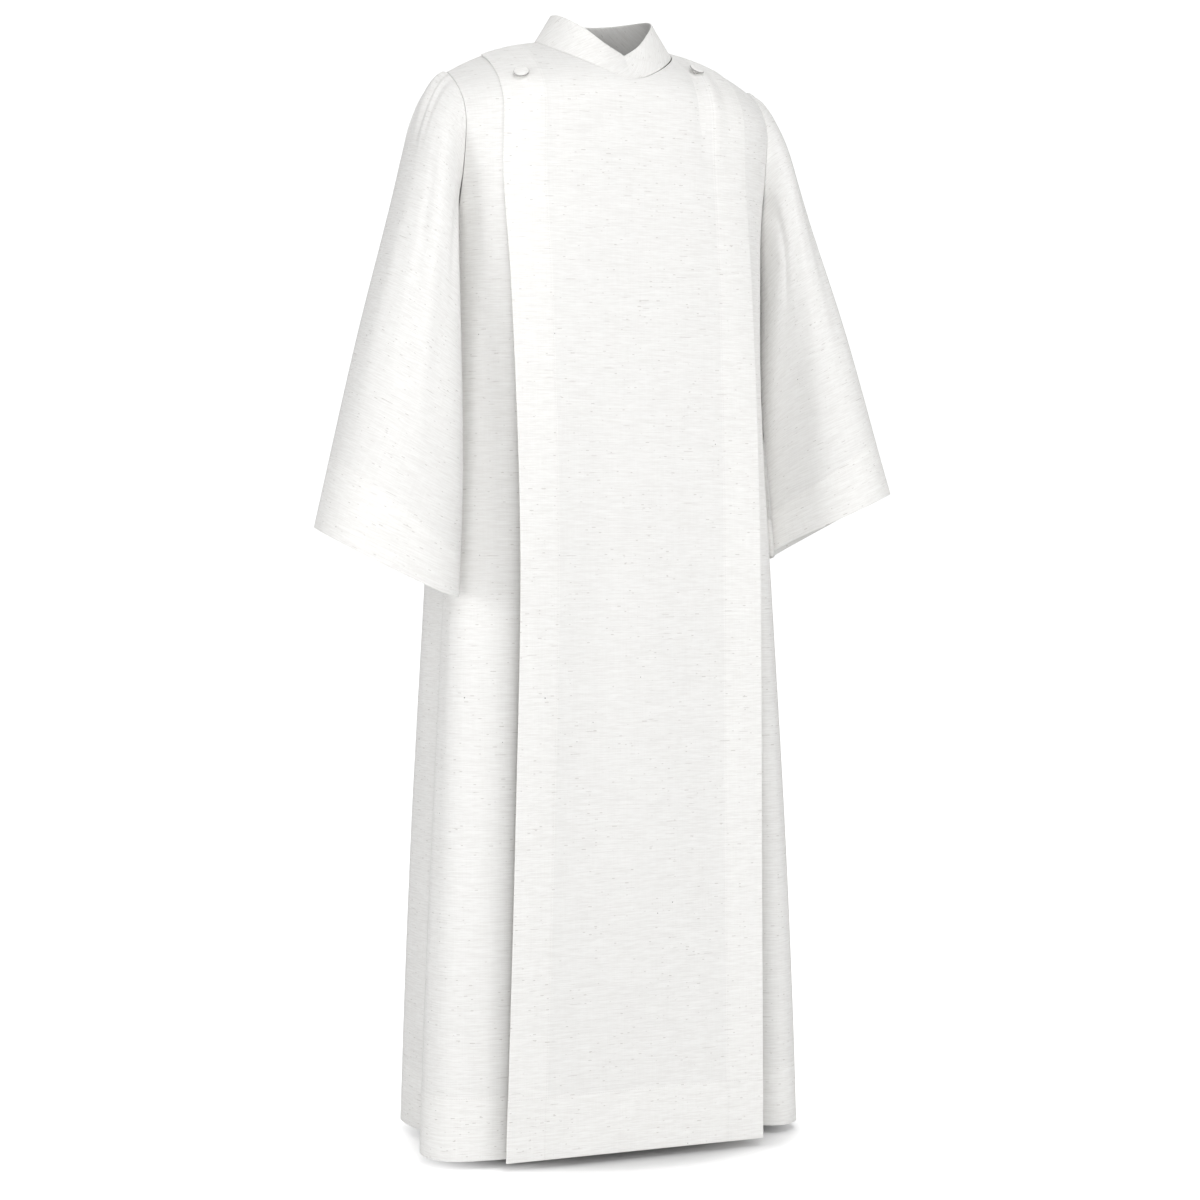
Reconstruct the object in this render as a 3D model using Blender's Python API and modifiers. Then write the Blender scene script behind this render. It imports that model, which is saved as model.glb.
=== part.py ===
"""Alb robe, front-wrap style, filled out with no wearer. Metres, +Z up.

The front faces -Y and the wearer's right side is -X. The origin lies midway between the two points where
the shoulder seams meet the neck. One solid is made for each piece that is cut and sewn.

A place on the body is given by its drop, the distance below the shoulder seam, and by how far round the
half section it lies. Each half section is a superellipse, taken from the BODY table and then folded.
"""

import math

import bpy
import numpy as np

WALL = 0.0015  # cloth with its turnings
SEAM = 0.0003  # between pieces that are sewn together
RIDGE_SEAM = 0.00036  # from the middle of the shoulder seam to the cloth on each side, whose walls lean
LAP = 0.0009  # between cloth that lies on cloth

# Heights, as drops below the shoulder seam
ARMPIT = 0.27
HEM = 1.42
SHOULDER_TURN = {"front": 0.106, "back": 0.080}  # the drop in which the shoulder turns to upright cloth
SHOULDER_SOFT = 2.4  # how gently the turn ends in upright cloth
SHOULDER_RIDGE = 0.88  # how round the turn is beside the seam

# Shoulder seam, from the neck point outwards
NECK_WIDTH = 0.090
NECK_DEPTH = {"front": 0.106, "back": 0.086}
NECK_RISE = {"front": 0.012, "back": 0.040}
SHOULDER_FALL = 0.108
SHOULDER_BEND = 2.09
SHOULDER_TIP = 0.2115

# Half section of the body at a drop: half width, depth to the front and to the back, and squareness
BODY_COLUMNS = ("drop", "width", "front", "back", "square")
BODY = (
    (0.00, 0.246, 0.118, 0.116, 2.7),
    (0.12, 0.226, 0.119, 0.120, 2.8),
    (0.27, 0.2135, 0.118, 0.128, 3.0),
    (0.42, 0.2150, 0.110, 0.134, 3.1),
    (0.70, 0.2250, 0.107, 0.148, 3.2),
    (1.05, 0.2360, 0.107, 0.168, 3.3),
    (1.42, 0.2480, 0.109, 0.186, 3.4),
)

# Half width of the body at the armhole seam
ARMHOLE_COLUMNS = ("drop", "width")
ARMHOLE = (
    (0.00, SHOULDER_TIP),
    (0.05, 0.2095),
    (0.12, 0.2090),
    (0.20, 0.2105),
    (0.27, 0.2135),
)

# The overlay panel: its edges to the wearer's right and left of the centre, how far forward it hangs, and
# how much it hangs free of the body
PANEL_COLUMNS = ("drop", "right", "left", "forward", "free")
PANEL = (
    (0.00, 0.165, 0.157, 0.122, 0.0),
    (0.15, 0.169, 0.162, 0.124, 0.0),
    (0.32, 0.163, 0.169, 0.127, 0.35),
    (0.60, 0.160, 0.170, 0.132, 0.9),
    (1.00, 0.170, 0.169, 0.139, 1.0),
    (1.42, 0.184, 0.170, 0.143, 1.0),
)

# Folds: the piece, the place across it (0 is its inner edge or centre, 1 its side seam), the half width in
# the same share, the depth at the hem in metres (outwards is positive), the drop where it starts and how
# late it grows
FOLDS = (
    # piece, place, spread, depth, starts, late
    ("right_side_front", 0.64, 0.36, 0.040, 0.34, 1.0),
    ("right_side_front", 1.00, 0.18, -0.030, 0.36, 1.0),
    ("left_side_front", 0.70, 0.30, 0.020, 0.40, 1.0),
    ("left_side_front", 0.33, 0.30, -0.022, 0.32, 0.7),
    ("left_side_front", 1.00, 0.18, -0.026, 0.36, 1.0),
    ("back_right", 1.00, 0.34, -0.030, 0.36, 1.0),
    ("back_right", 0.58, 0.18, 0.016, 0.30, 1.0),
    ("back_right", 0.24, 0.15, 0.016, 0.22, 1.0),
    ("back_left", 1.00, 0.34, -0.026, 0.36, 1.0),
    ("back_left", 0.60, 0.19, 0.014, 0.34, 1.0),
    ("back_left", 0.26, 0.14, 0.019, 0.26, 1.0),
)

# Sleeves: stations down the sleeve. The outer and inner points of each ring are given as distance from the
# garment's centre, place front to back and height, then the depths to the front and back of them.
SLEEVE_COLUMNS = ("way", "out_x", "out_y", "out_z", "in_x", "in_y", "in_z", "front", "back", "square", "dip")
RIGHT_SLEEVE = (
    (0.00, 0.236, 0.000, -0.047, 0.221, -0.004, -0.285, 0.076, 0.078, 2.2, 0.0),
    (0.10, 0.251, -0.006, -0.090, 0.222, -0.022, -0.335, 0.082, 0.080, 2.3, 0.02),
    (0.30, 0.286, -0.020, -0.214, 0.224, -0.040, -0.425, 0.083, 0.080, 2.4, 0.05),
    (0.60, 0.337, -0.038, -0.388, 0.230, -0.062, -0.556, 0.080, 0.078, 2.5, 0.10),
    (1.00, 0.402, -0.065, -0.629, 0.240, -0.088, -0.708, 0.074, 0.074, 2.5, 0.17),
)
LEFT_SLEEVE = (
    (0.00, 0.232, 0.000, -0.047, 0.221, -0.004, -0.285, 0.074, 0.078, 2.2, 0.0),
    (0.10, 0.246, -0.004, -0.090, 0.222, -0.014, -0.330, 0.076, 0.080, 2.3, -0.02),
    (0.30, 0.281, -0.012, -0.208, 0.224, -0.024, -0.410, 0.076, 0.080, 2.4, -0.06),
    (0.60, 0.333, -0.028, -0.368, 0.230, -0.034, -0.526, 0.072, 0.078, 2.4, -0.12),
    (1.00, 0.394, -0.050, -0.586, 0.236, -0.048, -0.664, 0.068, 0.074, 2.4, -0.22),
)
SLEEVE_SEAM = {"shoulder": 0.0012, "armpit": 0.0024}  # from the armhole's middle line to the sleeve's
CAP_BLEND = 0.16  # the share of the sleeve in which the armhole's shape turns into the ring's
CAP_RISE = 0.62  # how fast it turns at first
SLEEVE_COLUMNS_ROUND = 44
SLEEVE_BUNCH = 0.58  # how much closer the columns lie at the top of the cap than at the armpit
SLEEVE_WAYS = (0.0, 0.02, 0.045, 0.075, 0.11, 0.16, 0.22, 0.30, 0.40, 0.50, 0.60, 0.70, 0.80, 0.90, 1.0)
GATHERS = 5
GATHER_PITCH = 0.018
GATHER_DEPTH = 0.0022
GATHER_LENGTH = 0.20  # as a share of the sleeve
GATHER_EARLY = 0.6  # how near the armhole they are deepest
GATHER_OUT = (0.6, 0.0, 0.8)  # the direction in which they stand, outwards and up

# Stand collar: the top ring, and how high its top lies at each turn from the centre front
COLLAR_TOP_WIDTH = 0.065
COLLAR_TOP_DEPTH = {"front": 0.080, "back": 0.066}
COLLAR_TOP_COLUMNS = ("turn", "height")
COLLAR_TOP = (
    (0.0, -0.018),
    (20.0, -0.005),
    (45.0, 0.014),
    (70.0, 0.031),
    (90.0, 0.040),
    (180.0, 0.043),
)
COLLAR_END = 38.0  # how far past the centre front an end runs, in degrees
COLLAR_UNDER = 62.0  # where the lower end starts to pass under the upper one
COLLAR_LEAN = 0.55  # the upward part of the direction that the collar faces
COLLAR_FACE = math.sqrt(1 - COLLAR_LEAN**2)
COLLAR_LIFT = {"front": 0.0032, "back": 0.0012}

# Covered buttons
BUTTON_RADIUS = 0.010
BUTTON_THICK = 0.0042
BUTTON_DOME = 0.0016
SHANK_RADIUS = 0.003
SHANK = 0.0012
BUTTON_STEPS = 20
BUTTONS = (
    # name, x, y
    ("button_right", -0.139, -0.084),
    ("button_left", 0.101, -0.076),
)

# Rows and columns of the body's pieces
TURN_ROWS = 7
CHEST_ROWS = 4
SKIRT_ROWS = 13
SEAM_ROW = 0.12  # the first row's height as a share of the next
SEAM_COLUMN = 0.15  # the last column's width as a share of the others
STRAIGHT = 0.5  # the share of a piece's columns that the armhole doesn't push aside
SIDE_FRONT_COLUMNS = 14
BACK_NECK_COLUMNS = 7
BACK_SHOULDER_COLUMNS = 6
PANEL_NECK_COLUMNS = 13
PANEL_SIDE_COLUMNS = 4
SECTION_STEPS = 361

CLOTH_COLOUR = (0.90, 0.90, 0.87, 1.0)
CLOTH_ROUGHNESS = 0.85


def read(table, columns, name, at):
    """One column of a table at any place, on a smooth curve through its rows."""
    rows = np.array(table, float)
    places = rows[:, 0]
    values = rows[:, columns.index(name)]
    steps = np.diff(places)
    slopes = np.diff(values) / steps
    tangents = np.concatenate([slopes[:1], (slopes[1:] + slopes[:-1]) / 2, slopes[-1:]])
    tangents[1:-1][slopes[1:] * slopes[:-1] <= 0] = 0
    at = np.clip(np.asarray(at, float), places[0], places[-1])
    k = np.clip(np.searchsorted(places, at, side="right") - 1, 0, len(steps) - 1)
    t = (at - places[k]) / steps[k]
    start = values[k] * (1 + 2 * t) * (1 - t) ** 2 + values[k + 1] * t**2 * (3 - 2 * t)
    return start + steps[k] * (tangents[k] * t * (1 - t) ** 2 - tangents[k + 1] * t**2 * (1 - t))


def ease(t):
    """Rises from 0 to 1 with no slope at either end."""
    t = np.clip(t, 0, 1)
    return t * t * (3 - 2 * t)


def body(name, drop):
    return read(BODY, BODY_COLUMNS, name, drop)


def seam_height(x, face):
    """Height of the shoulder seam, carried on over the neck on the inner side of the neck point."""
    out = np.maximum(np.abs(x) - NECK_WIDTH, 0)
    inside = np.maximum(1 - (x / NECK_WIDTH) ** 2, 0)
    return NECK_RISE[face] * inside - SHOULDER_FALL * out - SHOULDER_BEND * out**2


def height(x, drop, face):
    """Rows slope like the shoulder at the top, and are level from the armpit down."""
    return seam_height(x, face) * (1 - ease(drop / ARMPIT)) - drop


def turned(drop, face):
    """How much of its full depth the body has at a drop, from none at the seam to all below the turn."""
    left = 1 - np.clip(drop / SHOULDER_TURN[face], 0, 1)
    return (1 - left**SHOULDER_SOFT) ** SHOULDER_RIDGE


def turn_drop(angle, face):
    """The drop at an angle over the shoulder, where the depth is sin(angle) of the whole."""
    left = np.maximum(1 - np.sin(angle) ** (1 / SHOULDER_RIDGE), 0) ** (1 / SHOULDER_SOFT)
    return SHOULDER_TURN[face] * (1 - left)


def quarter(drop, face):
    """Half section from the centre to the side seam: x, y and the length along it."""
    angle = np.linspace(0, math.pi / 2, SECTION_STEPS)
    power = 2 / float(body("square", drop))
    x = float(body("width", drop)) * np.sin(angle) ** power
    deep = float(body(face, drop)) * float(turned(drop, face))
    y = deep * np.cos(angle) ** power
    along = np.concatenate([[0], np.cumsum(np.hypot(np.diff(x), np.diff(y)))])
    return x, y, along


def plan_point(drop, face, share, inner, outer):
    """The point at a share of the way round from the half width inner to the half width outer."""
    x, y, along = quarter(drop, face)
    start = np.interp(inner, x, along)
    end = along[-1] - SEAM / 2 if outer is None else np.interp(outer, x, along)
    straight = start + (along[-1] - start) * min(share, STRAIGHT)
    at = straight + (end - straight) * max(share - STRAIGHT, 0) / (1 - STRAIGHT)
    return np.interp(at, along, x), np.interp(at, along, y)


def plan_normal(x, y, drop, face):
    """Outward direction of the half section, in plan."""
    power = float(body("square", drop)) - 1
    across = (x / body("width", drop)) ** power / body("width", drop)
    forward = (y / body(face, drop)) ** power / body(face, drop)
    size = math.hypot(across, forward)
    return across / size, forward / size


def fold(piece, share, drop):
    """Sum of the piece's folds: each a soft bell across it that grows towards the hem."""
    total = 0.0
    for name, place, spread, depth, starts, late in FOLDS:
        if name == piece:
            bell = math.cos(min(abs(share - place) / spread, 1) * math.pi / 2) ** 2
            grown = max(drop - starts, 0) / (HEM - starts)
            total += depth * bell * float(ease(grown * 0.5 + 0.5 * grown**late)) ** 0.8
    return total


def armhole(drop):
    """Half width of the body at the armhole, or None below the armpit, where the side seam is the edge."""
    if drop >= ARMPIT - 1e-6:
        return None
    return float(read(ARMHOLE, ARMHOLE_COLUMNS, "width", drop))


def body_point(piece, face, hand, drop, share, inner):
    """A point of the body's cloth. hand is -1 on the wearer's right side and 1 on the left."""
    x, y = plan_point(drop, face, share, inner, armhole(drop))
    if drop > ARMPIT:
        across, forward = plan_normal(x, y, drop, face)
        moved = fold(piece, share, drop)
        x += across * moved
        y += forward * moved
    front = -1 if face == "front" else 1
    return hand * x, front * max(y, RIDGE_SEAM), float(height(x, drop, face))


def row_drops(face, start_angle, turn_rows, chest_rows, skirt_rows):
    """Drops of the rows of one column: over the shoulder by angle, then to the armpit, then to the hem."""
    even = np.linspace(start_angle, math.pi / 2, turn_rows)
    angles = np.concatenate([even[:1], [even[0] + SEAM_ROW * (even[1] - even[0])], even[1:]])
    turn = SHOULDER_TURN[face]
    chest = turn + (ARMPIT - turn) * np.sin(np.linspace(0, math.pi / 2, chest_rows + 1)[1:])
    skirt = ARMPIT + (HEM - ARMPIT) * np.linspace(0, 1, skirt_rows + 1)[1:]
    return np.concatenate([turn_drop(angles, face), chest, skirt])


def neck_angle(x, face):
    """Where on the shoulder's turn the neckline crosses: 0 at the neck point and outside it."""
    inside = 1 - (x / NECK_WIDTH) ** 2
    if inside <= 0:
        return 0.0
    power = float(body("square", 0))
    deep = float(body(face, 0)) * (1 - (abs(x) / float(body("width", 0))) ** power) ** (1 / power)
    return math.asin(min(NECK_DEPTH[face] * math.sqrt(inside) / deep, 0.98))


def beside_seam(shares):
    """Adds a column close to the last one, so that the wall's edge stands square to the seam."""
    return np.concatenate([shares[:-1], [shares[-1] - SEAM_COLUMN * (shares[-1] - shares[-2])], shares[-1:]])


def side_front(name, hand):
    """From the neck point down, under the panel, and round to the side seam."""
    shares = beside_seam(np.linspace(0, 1, SIDE_FRONT_COLUMNS))
    drops = row_drops("front", 0.0, TURN_ROWS, CHEST_ROWS, SKIRT_ROWS)
    inner = NECK_WIDTH + LAP
    return np.array([[body_point(name, "front", hand, d, s, inner) for s in shares] for d in drops])


def top_share(x):
    """The share of the back at which a place on the shoulder seam lies: plan_point at no drop, undone."""
    straight = STRAIGHT * float(body("width", 0))
    if x <= straight:
        return STRAIGHT * x / straight
    return STRAIGHT + (1 - STRAIGHT) * (x - straight) / (SHOULDER_TIP - straight)


def back():
    """One piece from side seam to side seam, cut out for the neck."""
    neck = np.sin(np.linspace(0, math.pi / 2, BACK_NECK_COLUMNS)) * NECK_WIDTH
    shoulder = np.linspace(NECK_WIDTH, SHOULDER_TIP, BACK_SHOULDER_COLUMNS)[1:]
    tops = beside_seam(np.concatenate([neck, shoulder]))
    lows = beside_seam(np.linspace(0, 1, len(tops) - 1))
    half = {}
    for hand, piece in ((-1, "back_right"), (1, "back_left")):
        columns = []
        for top, low in zip(tops, lows):
            drops = row_drops("back", neck_angle(top, "back"), TURN_ROWS, CHEST_ROWS, SKIRT_ROWS)
            column = []
            for drop in drops:
                high = top_share(top)
                share = high + (low - high) * float(ease(drop / ARMPIT))
                column.append(body_point(piece, "back", hand, drop, share, 0.0))
            columns.append(column)
        half[hand] = np.array(columns).transpose(1, 0, 2)
    return np.concatenate([half[-1][:, :0:-1], half[1]], axis=1)


def panel_point(x_top, drop):
    """On the body where it lies on it, and further forward where it hangs free."""
    side = "right" if x_top < 0 else "left"
    x = x_top * float(read(PANEL, PANEL_COLUMNS, side, drop) / read(PANEL, PANEL_COLUMNS, side, 0))
    power = float(body("square", min(drop, ARMPIT)))
    wide = float(body("width", min(drop, ARMPIT)))
    deep = float(body("front", min(drop, ARMPIT))) * float(turned(drop, "front"))
    on_body = deep * (1 - (abs(x) / wide) ** power) ** (1 / power)
    free = float(read(PANEL, PANEL_COLUMNS, "free", drop))
    hung = float(read(PANEL, PANEL_COLUMNS, "forward", drop))
    y = on_body + (hung - on_body) * free
    return x, -max(y, RIDGE_SEAM), float(height(x, drop, "front"))


def outwards(points):
    """Unit normals of a grid of points, on the side away from the garment's axis."""
    down = np.gradient(points, axis=0)
    across = np.gradient(points, axis=1)
    normal = np.cross(across, down)
    normal /= np.linalg.norm(normal, axis=2, keepdims=True)
    middle = normal[len(normal) // 2, normal.shape[1] // 2]
    return normal if middle[1] < 0 else -normal


def front_panel():
    """The overlay: made from the body's points, moved out by the wall and the lap."""
    neck = np.sin(np.linspace(-math.pi / 2, math.pi / 2, PANEL_NECK_COLUMNS)) * NECK_WIDTH
    edges = {side: float(read(PANEL, PANEL_COLUMNS, side, 0)) for side in ("right", "left")}
    right = np.linspace(NECK_WIDTH, edges["right"], PANEL_SIDE_COLUMNS)[1:]
    left = np.linspace(NECK_WIDTH, edges["left"], PANEL_SIDE_COLUMNS)[1:]
    tops = np.concatenate([-right[::-1], neck, left])
    columns = []
    for top in tops:
        drops = row_drops("front", neck_angle(top, "front"), TURN_ROWS, CHEST_ROWS, SKIRT_ROWS)
        columns.append([panel_point(top, drop) for drop in drops])
    points = np.array(columns).transpose(1, 0, 2)
    return points + outwards(points) * (WALL + LAP)


def armhole_point(turn, hand):
    """The armhole seam: 0 at the shoulder, a quarter turn at the front, half at the armpit."""
    face = "front" if turn <= math.pi else "back"
    drop = ARMPIT * (1 - math.cos(turn)) / 2
    outer = float(read(ARMHOLE, ARMHOLE_COLUMNS, "width", drop))
    x, y, _ = quarter(drop, face)
    deep = np.interp(outer, x, y) if drop < ARMPIT - 1e-6 else 0.0
    front = -1 if face == "front" else 1
    return np.array([hand * outer, front * deep, float(height(outer, drop, face))])


def ring_point(table, turn, way, hand):
    """A point of the sleeve's own ring, a superellipse between its outer and inner points."""
    row = {name: float(read(table, SLEEVE_COLUMNS, name, way)) for name in SLEEVE_COLUMNS[1:]}
    outer = np.array([hand * row["out_x"], row["out_y"], row["out_z"]])
    inner = np.array([hand * row["in_x"], row["in_y"], row["in_z"]])
    power = 2 / row["square"]
    up = math.copysign(abs(math.cos(turn)) ** power, math.cos(turn))
    ahead = math.copysign(abs(math.sin(turn)) ** power, math.sin(turn))
    deep = ahead * (row["front"] if ahead > 0 else row["back"])
    return (outer + inner) / 2 + up * (outer - inner) / 2 + np.array([0, -deep, -row["dip"] * deep])


def gather(turn, way, at_armhole):
    """Small pleats across the top of the cap, which die out down the sleeve."""
    across = at_armhole[1] / GATHER_PITCH
    window = ease(1 - abs(across) / (GATHERS / 2)) if math.cos(turn) > 0 else 0.0
    along = math.sin(math.pi * min((way / GATHER_LENGTH) ** GATHER_EARLY, 1))
    return GATHER_DEPTH * float(window) * along * math.cos(2 * math.pi * across)


def sleeve(table, hand):
    """A wide hanging tube from the armhole to its hem."""
    even = np.arange(SLEEVE_COLUMNS_ROUND) * 2 * math.pi / SLEEVE_COLUMNS_ROUND
    turns = even - SLEEVE_BUNCH * np.sin(even)
    rows = []
    for way in SLEEVE_WAYS:
        ring = []
        for turn in turns:
            start = armhole_point(turn, hand)
            low = (1 - math.cos(turn)) / 2
            step = SLEEVE_SEAM["shoulder"] * (1 - low) + SLEEVE_SEAM["armpit"] * low
            out = np.array([hand * step, 0, 0])
            own = ring_point(table, turn, way, hand)
            share = float(ease((way / CAP_BLEND) ** CAP_RISE))
            point = (start + out) * (1 - share) + own * share
            raised = gather(turn, way, start)
            ring.append(point + np.array(GATHER_OUT) * (hand, 1, 1) * raised)
        rows.append(ring)
    return np.array(rows)


def neck_point(turn):
    """The neckline: an ellipse in plan, laid on the shoulders. turn is in degrees from the centre front."""
    angle = math.radians(turn)
    face = "front" if abs(turn) <= 90 else "back"
    x = NECK_WIDTH * math.sin(angle)
    y = -NECK_DEPTH[face] * math.cos(angle)
    drop = turn_drop(neck_angle(x, face), face)
    return np.array([x, y, float(height(x, drop, face))])


def collar_top(turn):
    angle = math.radians(turn)
    face = "front" if abs(turn) <= 90 else "back"
    y = -COLLAR_TOP_DEPTH[face] * math.cos(angle)
    top = float(read(COLLAR_TOP, COLLAR_TOP_COLUMNS, "height", abs(turn)))
    return np.array([COLLAR_TOP_WIDTH * math.sin(angle), y, top])


def collar(hand):
    """Half of the stand collar, from the centre back round its own side and past the centre front."""
    seam = math.degrees(SEAM / 2 / COLLAR_TOP_DEPTH["back"]) * 1.6
    turns = np.concatenate([np.linspace(180 - seam, 20, 15), np.linspace(10, 2 - COLLAR_END, 6)])
    columns = []
    for turn in turns:
        base = neck_point(turn * hand)
        top = collar_top(turn * hand)
        rise = (top - base) / np.linalg.norm(top - base)
        blend = float(ease((turn - 80) / 20))
        base = base + rise * (COLLAR_LIFT["front"] * (1 - blend) + COLLAR_LIFT["back"] * blend)
        high = min(1.0, (COLLAR_END + turn) / COLLAR_END)
        angle = math.radians(turn * hand)
        inwards = np.array([-math.sin(angle) * COLLAR_FACE, math.cos(angle) * COLLAR_FACE, -COLLAR_LEAN])
        under = (WALL + LAP) * float(ease((COLLAR_UNDER - turn) / 24)) if hand > 0 else 0.0
        shares = np.linspace(0, high, 4)
        columns.append([base + (top - base) * share + inwards * under for share in shares])
    return np.array(columns).transpose(1, 0, 2)


def cloth(name, points, parent, ring=False):
    """An open surface through a grid of points, with a wall from Solidify."""
    rows, columns = points.shape[:2]
    index = np.arange(rows * columns).reshape(rows, columns)
    if ring:
        index = np.concatenate([index, index[:, :1]], axis=1)
    corners = [index[:-1, :-1], index[:-1, 1:], index[1:, 1:], index[1:, :-1]]
    faces = np.stack(corners, axis=-1).reshape(-1, 4)
    mesh = bpy.data.meshes.new(name)
    mesh.from_pydata(points.reshape(-1, 3).tolist(), [], faces.tolist())
    mesh.shade_smooth()
    piece = add(name, mesh, parent)
    wall = piece.modifiers.new("wall", "SOLIDIFY")
    wall.thickness = WALL
    wall.offset = 0
    return piece


def button(name, x, y, parent):
    """A covered button: a turned profile with a shank, seated square on the panel."""
    mesh = bpy.data.meshes.new(name)
    half = BUTTON_THICK / 2
    profile = [(0, SHANK + BUTTON_THICK + BUTTON_DOME)]
    profile += [(BUTTON_RADIUS * 0.45, SHANK + BUTTON_THICK + BUTTON_DOME * 0.75)]
    for angle in np.linspace(70, -80, 6):
        reach = BUTTON_RADIUS - half + half * math.cos(math.radians(angle))
        profile.append((reach, SHANK + half + half * math.sin(math.radians(angle))))
    profile += [(SHANK_RADIUS, SHANK), (SHANK_RADIUS, 0), (0, 0)]
    edges = [(i, i + 1) for i in range(len(profile) - 1)]
    mesh.from_pydata([(r, 0, z) for r, z in profile], edges, [])
    piece = add(name, mesh, parent)
    screw = piece.modifiers.new("turned", "SCREW")
    screw.steps = BUTTON_STEPS
    screw.render_steps = BUTTON_STEPS
    screw.use_merge_vertices = True
    screw.merge_threshold = 0.00005
    low, high = 0.0, SHOULDER_TURN["front"]
    for _ in range(30):
        middle = (low + high) / 2
        low, high = (middle, high) if panel_point(x, middle)[1] > y else (low, middle)
    seat, beside, below = (
        np.array(panel_point(*at)) for at in ((x, low), (x + 0.002, low), (x, low + 0.002))
    )
    normal = np.cross(below - seat, beside - seat)
    normal /= np.linalg.norm(normal)
    piece.location = seat + normal * (WALL * 1.5 + LAP)
    turn = math.atan2(normal[1], normal[0])
    lean = math.acos(normal[2])
    piece.rotation_euler = (0, lean, turn)
    return piece


def add(name, mesh, parent):
    piece = bpy.data.objects.new(name, mesh)
    bpy.data.collections["alb_robe"].objects.link(piece)
    piece.parent = parent
    finish = bpy.data.materials.new(name)
    finish.use_nodes = True
    shader = finish.node_tree.nodes["Principled BSDF"]
    shader.inputs["Base Color"].default_value = CLOTH_COLOUR
    shader.inputs["Roughness"].default_value = CLOTH_ROUGHNESS
    shader.inputs["Metallic"].default_value = 0.0
    mesh.materials.append(finish)
    return piece


def main():
    for old in list(bpy.data.objects):
        bpy.data.objects.remove(old)
    collection = bpy.data.collections.new("alb_robe")
    bpy.context.scene.collection.children.link(collection)
    robe = bpy.data.objects.new("robe", None)
    collection.objects.link(robe)
    cloth("front_panel", front_panel(), robe)
    cloth("right_side_front", side_front("right_side_front", -1), robe)
    cloth("left_side_front", side_front("left_side_front", 1), robe)
    cloth("back", back(), robe)
    cloth("right_sleeve", sleeve(RIGHT_SLEEVE, -1), robe, ring=True)
    cloth("left_sleeve", sleeve(LEFT_SLEEVE, 1), robe, ring=True)
    cloth("collar_right", collar(-1), robe)
    cloth("collar_left", collar(1), robe)
    for name, x, y in BUTTONS:
        button(name, x, y, robe)


main()
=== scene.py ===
"""Looks of the alb robe: fine cloth on the forms of the frame's pieces. Metres, +Z up, front at -Y.

A place on the body is given by its drop, the distance below the shoulder seam, and by the share of the way
round the half section at which it lies. Every piece of cloth is a grid of such places, worked out as whole
arrays, and becomes a thin closed shell with rounded edges. Each vertex carries its place in the flat cut,
in metres, which the weave follows, and its distances from the side edge and from the hem, for the facings,
the turned hems and their stitching.
"""

import functools
import math

import bpy
import numpy as np
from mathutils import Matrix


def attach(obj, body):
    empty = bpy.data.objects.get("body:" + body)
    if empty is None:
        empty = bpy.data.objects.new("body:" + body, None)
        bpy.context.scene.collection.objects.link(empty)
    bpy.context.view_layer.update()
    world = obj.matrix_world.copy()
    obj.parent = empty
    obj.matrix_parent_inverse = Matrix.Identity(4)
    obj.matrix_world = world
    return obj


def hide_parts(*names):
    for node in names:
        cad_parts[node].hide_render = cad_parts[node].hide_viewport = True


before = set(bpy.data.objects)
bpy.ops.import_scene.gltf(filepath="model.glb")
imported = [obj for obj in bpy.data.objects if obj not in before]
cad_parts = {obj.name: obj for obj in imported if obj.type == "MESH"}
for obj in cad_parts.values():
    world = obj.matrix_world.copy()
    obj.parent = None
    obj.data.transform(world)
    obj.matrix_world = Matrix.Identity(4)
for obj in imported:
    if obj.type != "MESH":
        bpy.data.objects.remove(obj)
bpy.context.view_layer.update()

# Layers of cloth and the gaps between them
CLOTH = 0.0012  # a single layer, from face to face
WALL = 0.0015  # the same in the frame, for what is placed on it
LAP = 0.0009  # air where one piece lies on another
PANEL_OUT = 0.0018  # from the body's middle surface to the panel's
COLLAR_THICK = 0.0022
SEAM = CLOTH + 0.0001  # between two middle surfaces that meet with rounded edges
HEM_STEP = CLOTH * 1.05  # from a hem's outer layer to its inner one
EDGE_TURNS = np.radians((30.0, 60.0, 90.0))  # steps of a cloth edge's rounding
FAR = 1.0  # an edge distance that no facing or hem reaches
TINY = 1e-12  # keeps a length that is divided by from being nothing

# The body's form, as in the frame: half width, depth to the front and to the back, and squareness
ARMPIT = 0.27
ARMHOLE_END = ARMPIT - 1e-6  # rows with a smaller drop end at the armhole
HEM = 1.42
SHOULDER_TURN = {"front": 0.106, "back": 0.080}
SHOULDER_SOFT = 2.4
SHOULDER_RIDGE = 0.88
NECK_WIDTH = 0.090
NECK_DEPTH = {"front": 0.109, "back": 0.086}
NECK_RISE = {"front": 0.012, "back": 0.040}
NECK_ROUNDING = np.linspace(-0.014, 0.014, 7)
NECK_LIMIT = 0.98  # the largest share of the body's depth that the neckline reaches
SHOULDER_FALL = 0.108
SHOULDER_BEND = 2.09
SHOULDER_TIP = 0.2115
STRAIGHT = 0.5
SECTION_STEPS = 141
BODY_COLUMNS = ("drop", "width", "front", "back", "square")
BODY = (
    (0.00, 0.246, 0.118, 0.116, 2.7),
    (0.12, 0.226, 0.119, 0.120, 2.8),
    (0.27, 0.2135, 0.118, 0.128, 3.0),
    (0.42, 0.2150, 0.110, 0.134, 3.1),
    (0.70, 0.2250, 0.107, 0.148, 3.2),
    (1.05, 0.2360, 0.107, 0.168, 3.3),
    (1.42, 0.2480, 0.109, 0.186, 3.4),
)
ARMHOLE_COLUMNS = ("drop", "width")
ARMHOLE = (
    (0.00, SHOULDER_TIP),
    (0.05, 0.2095),
    (0.12, 0.2090),
    (0.20, 0.2105),
    (0.27, 0.2135),
)
PANEL_COLUMNS = ("drop", "right", "left", "forward", "free")
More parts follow.
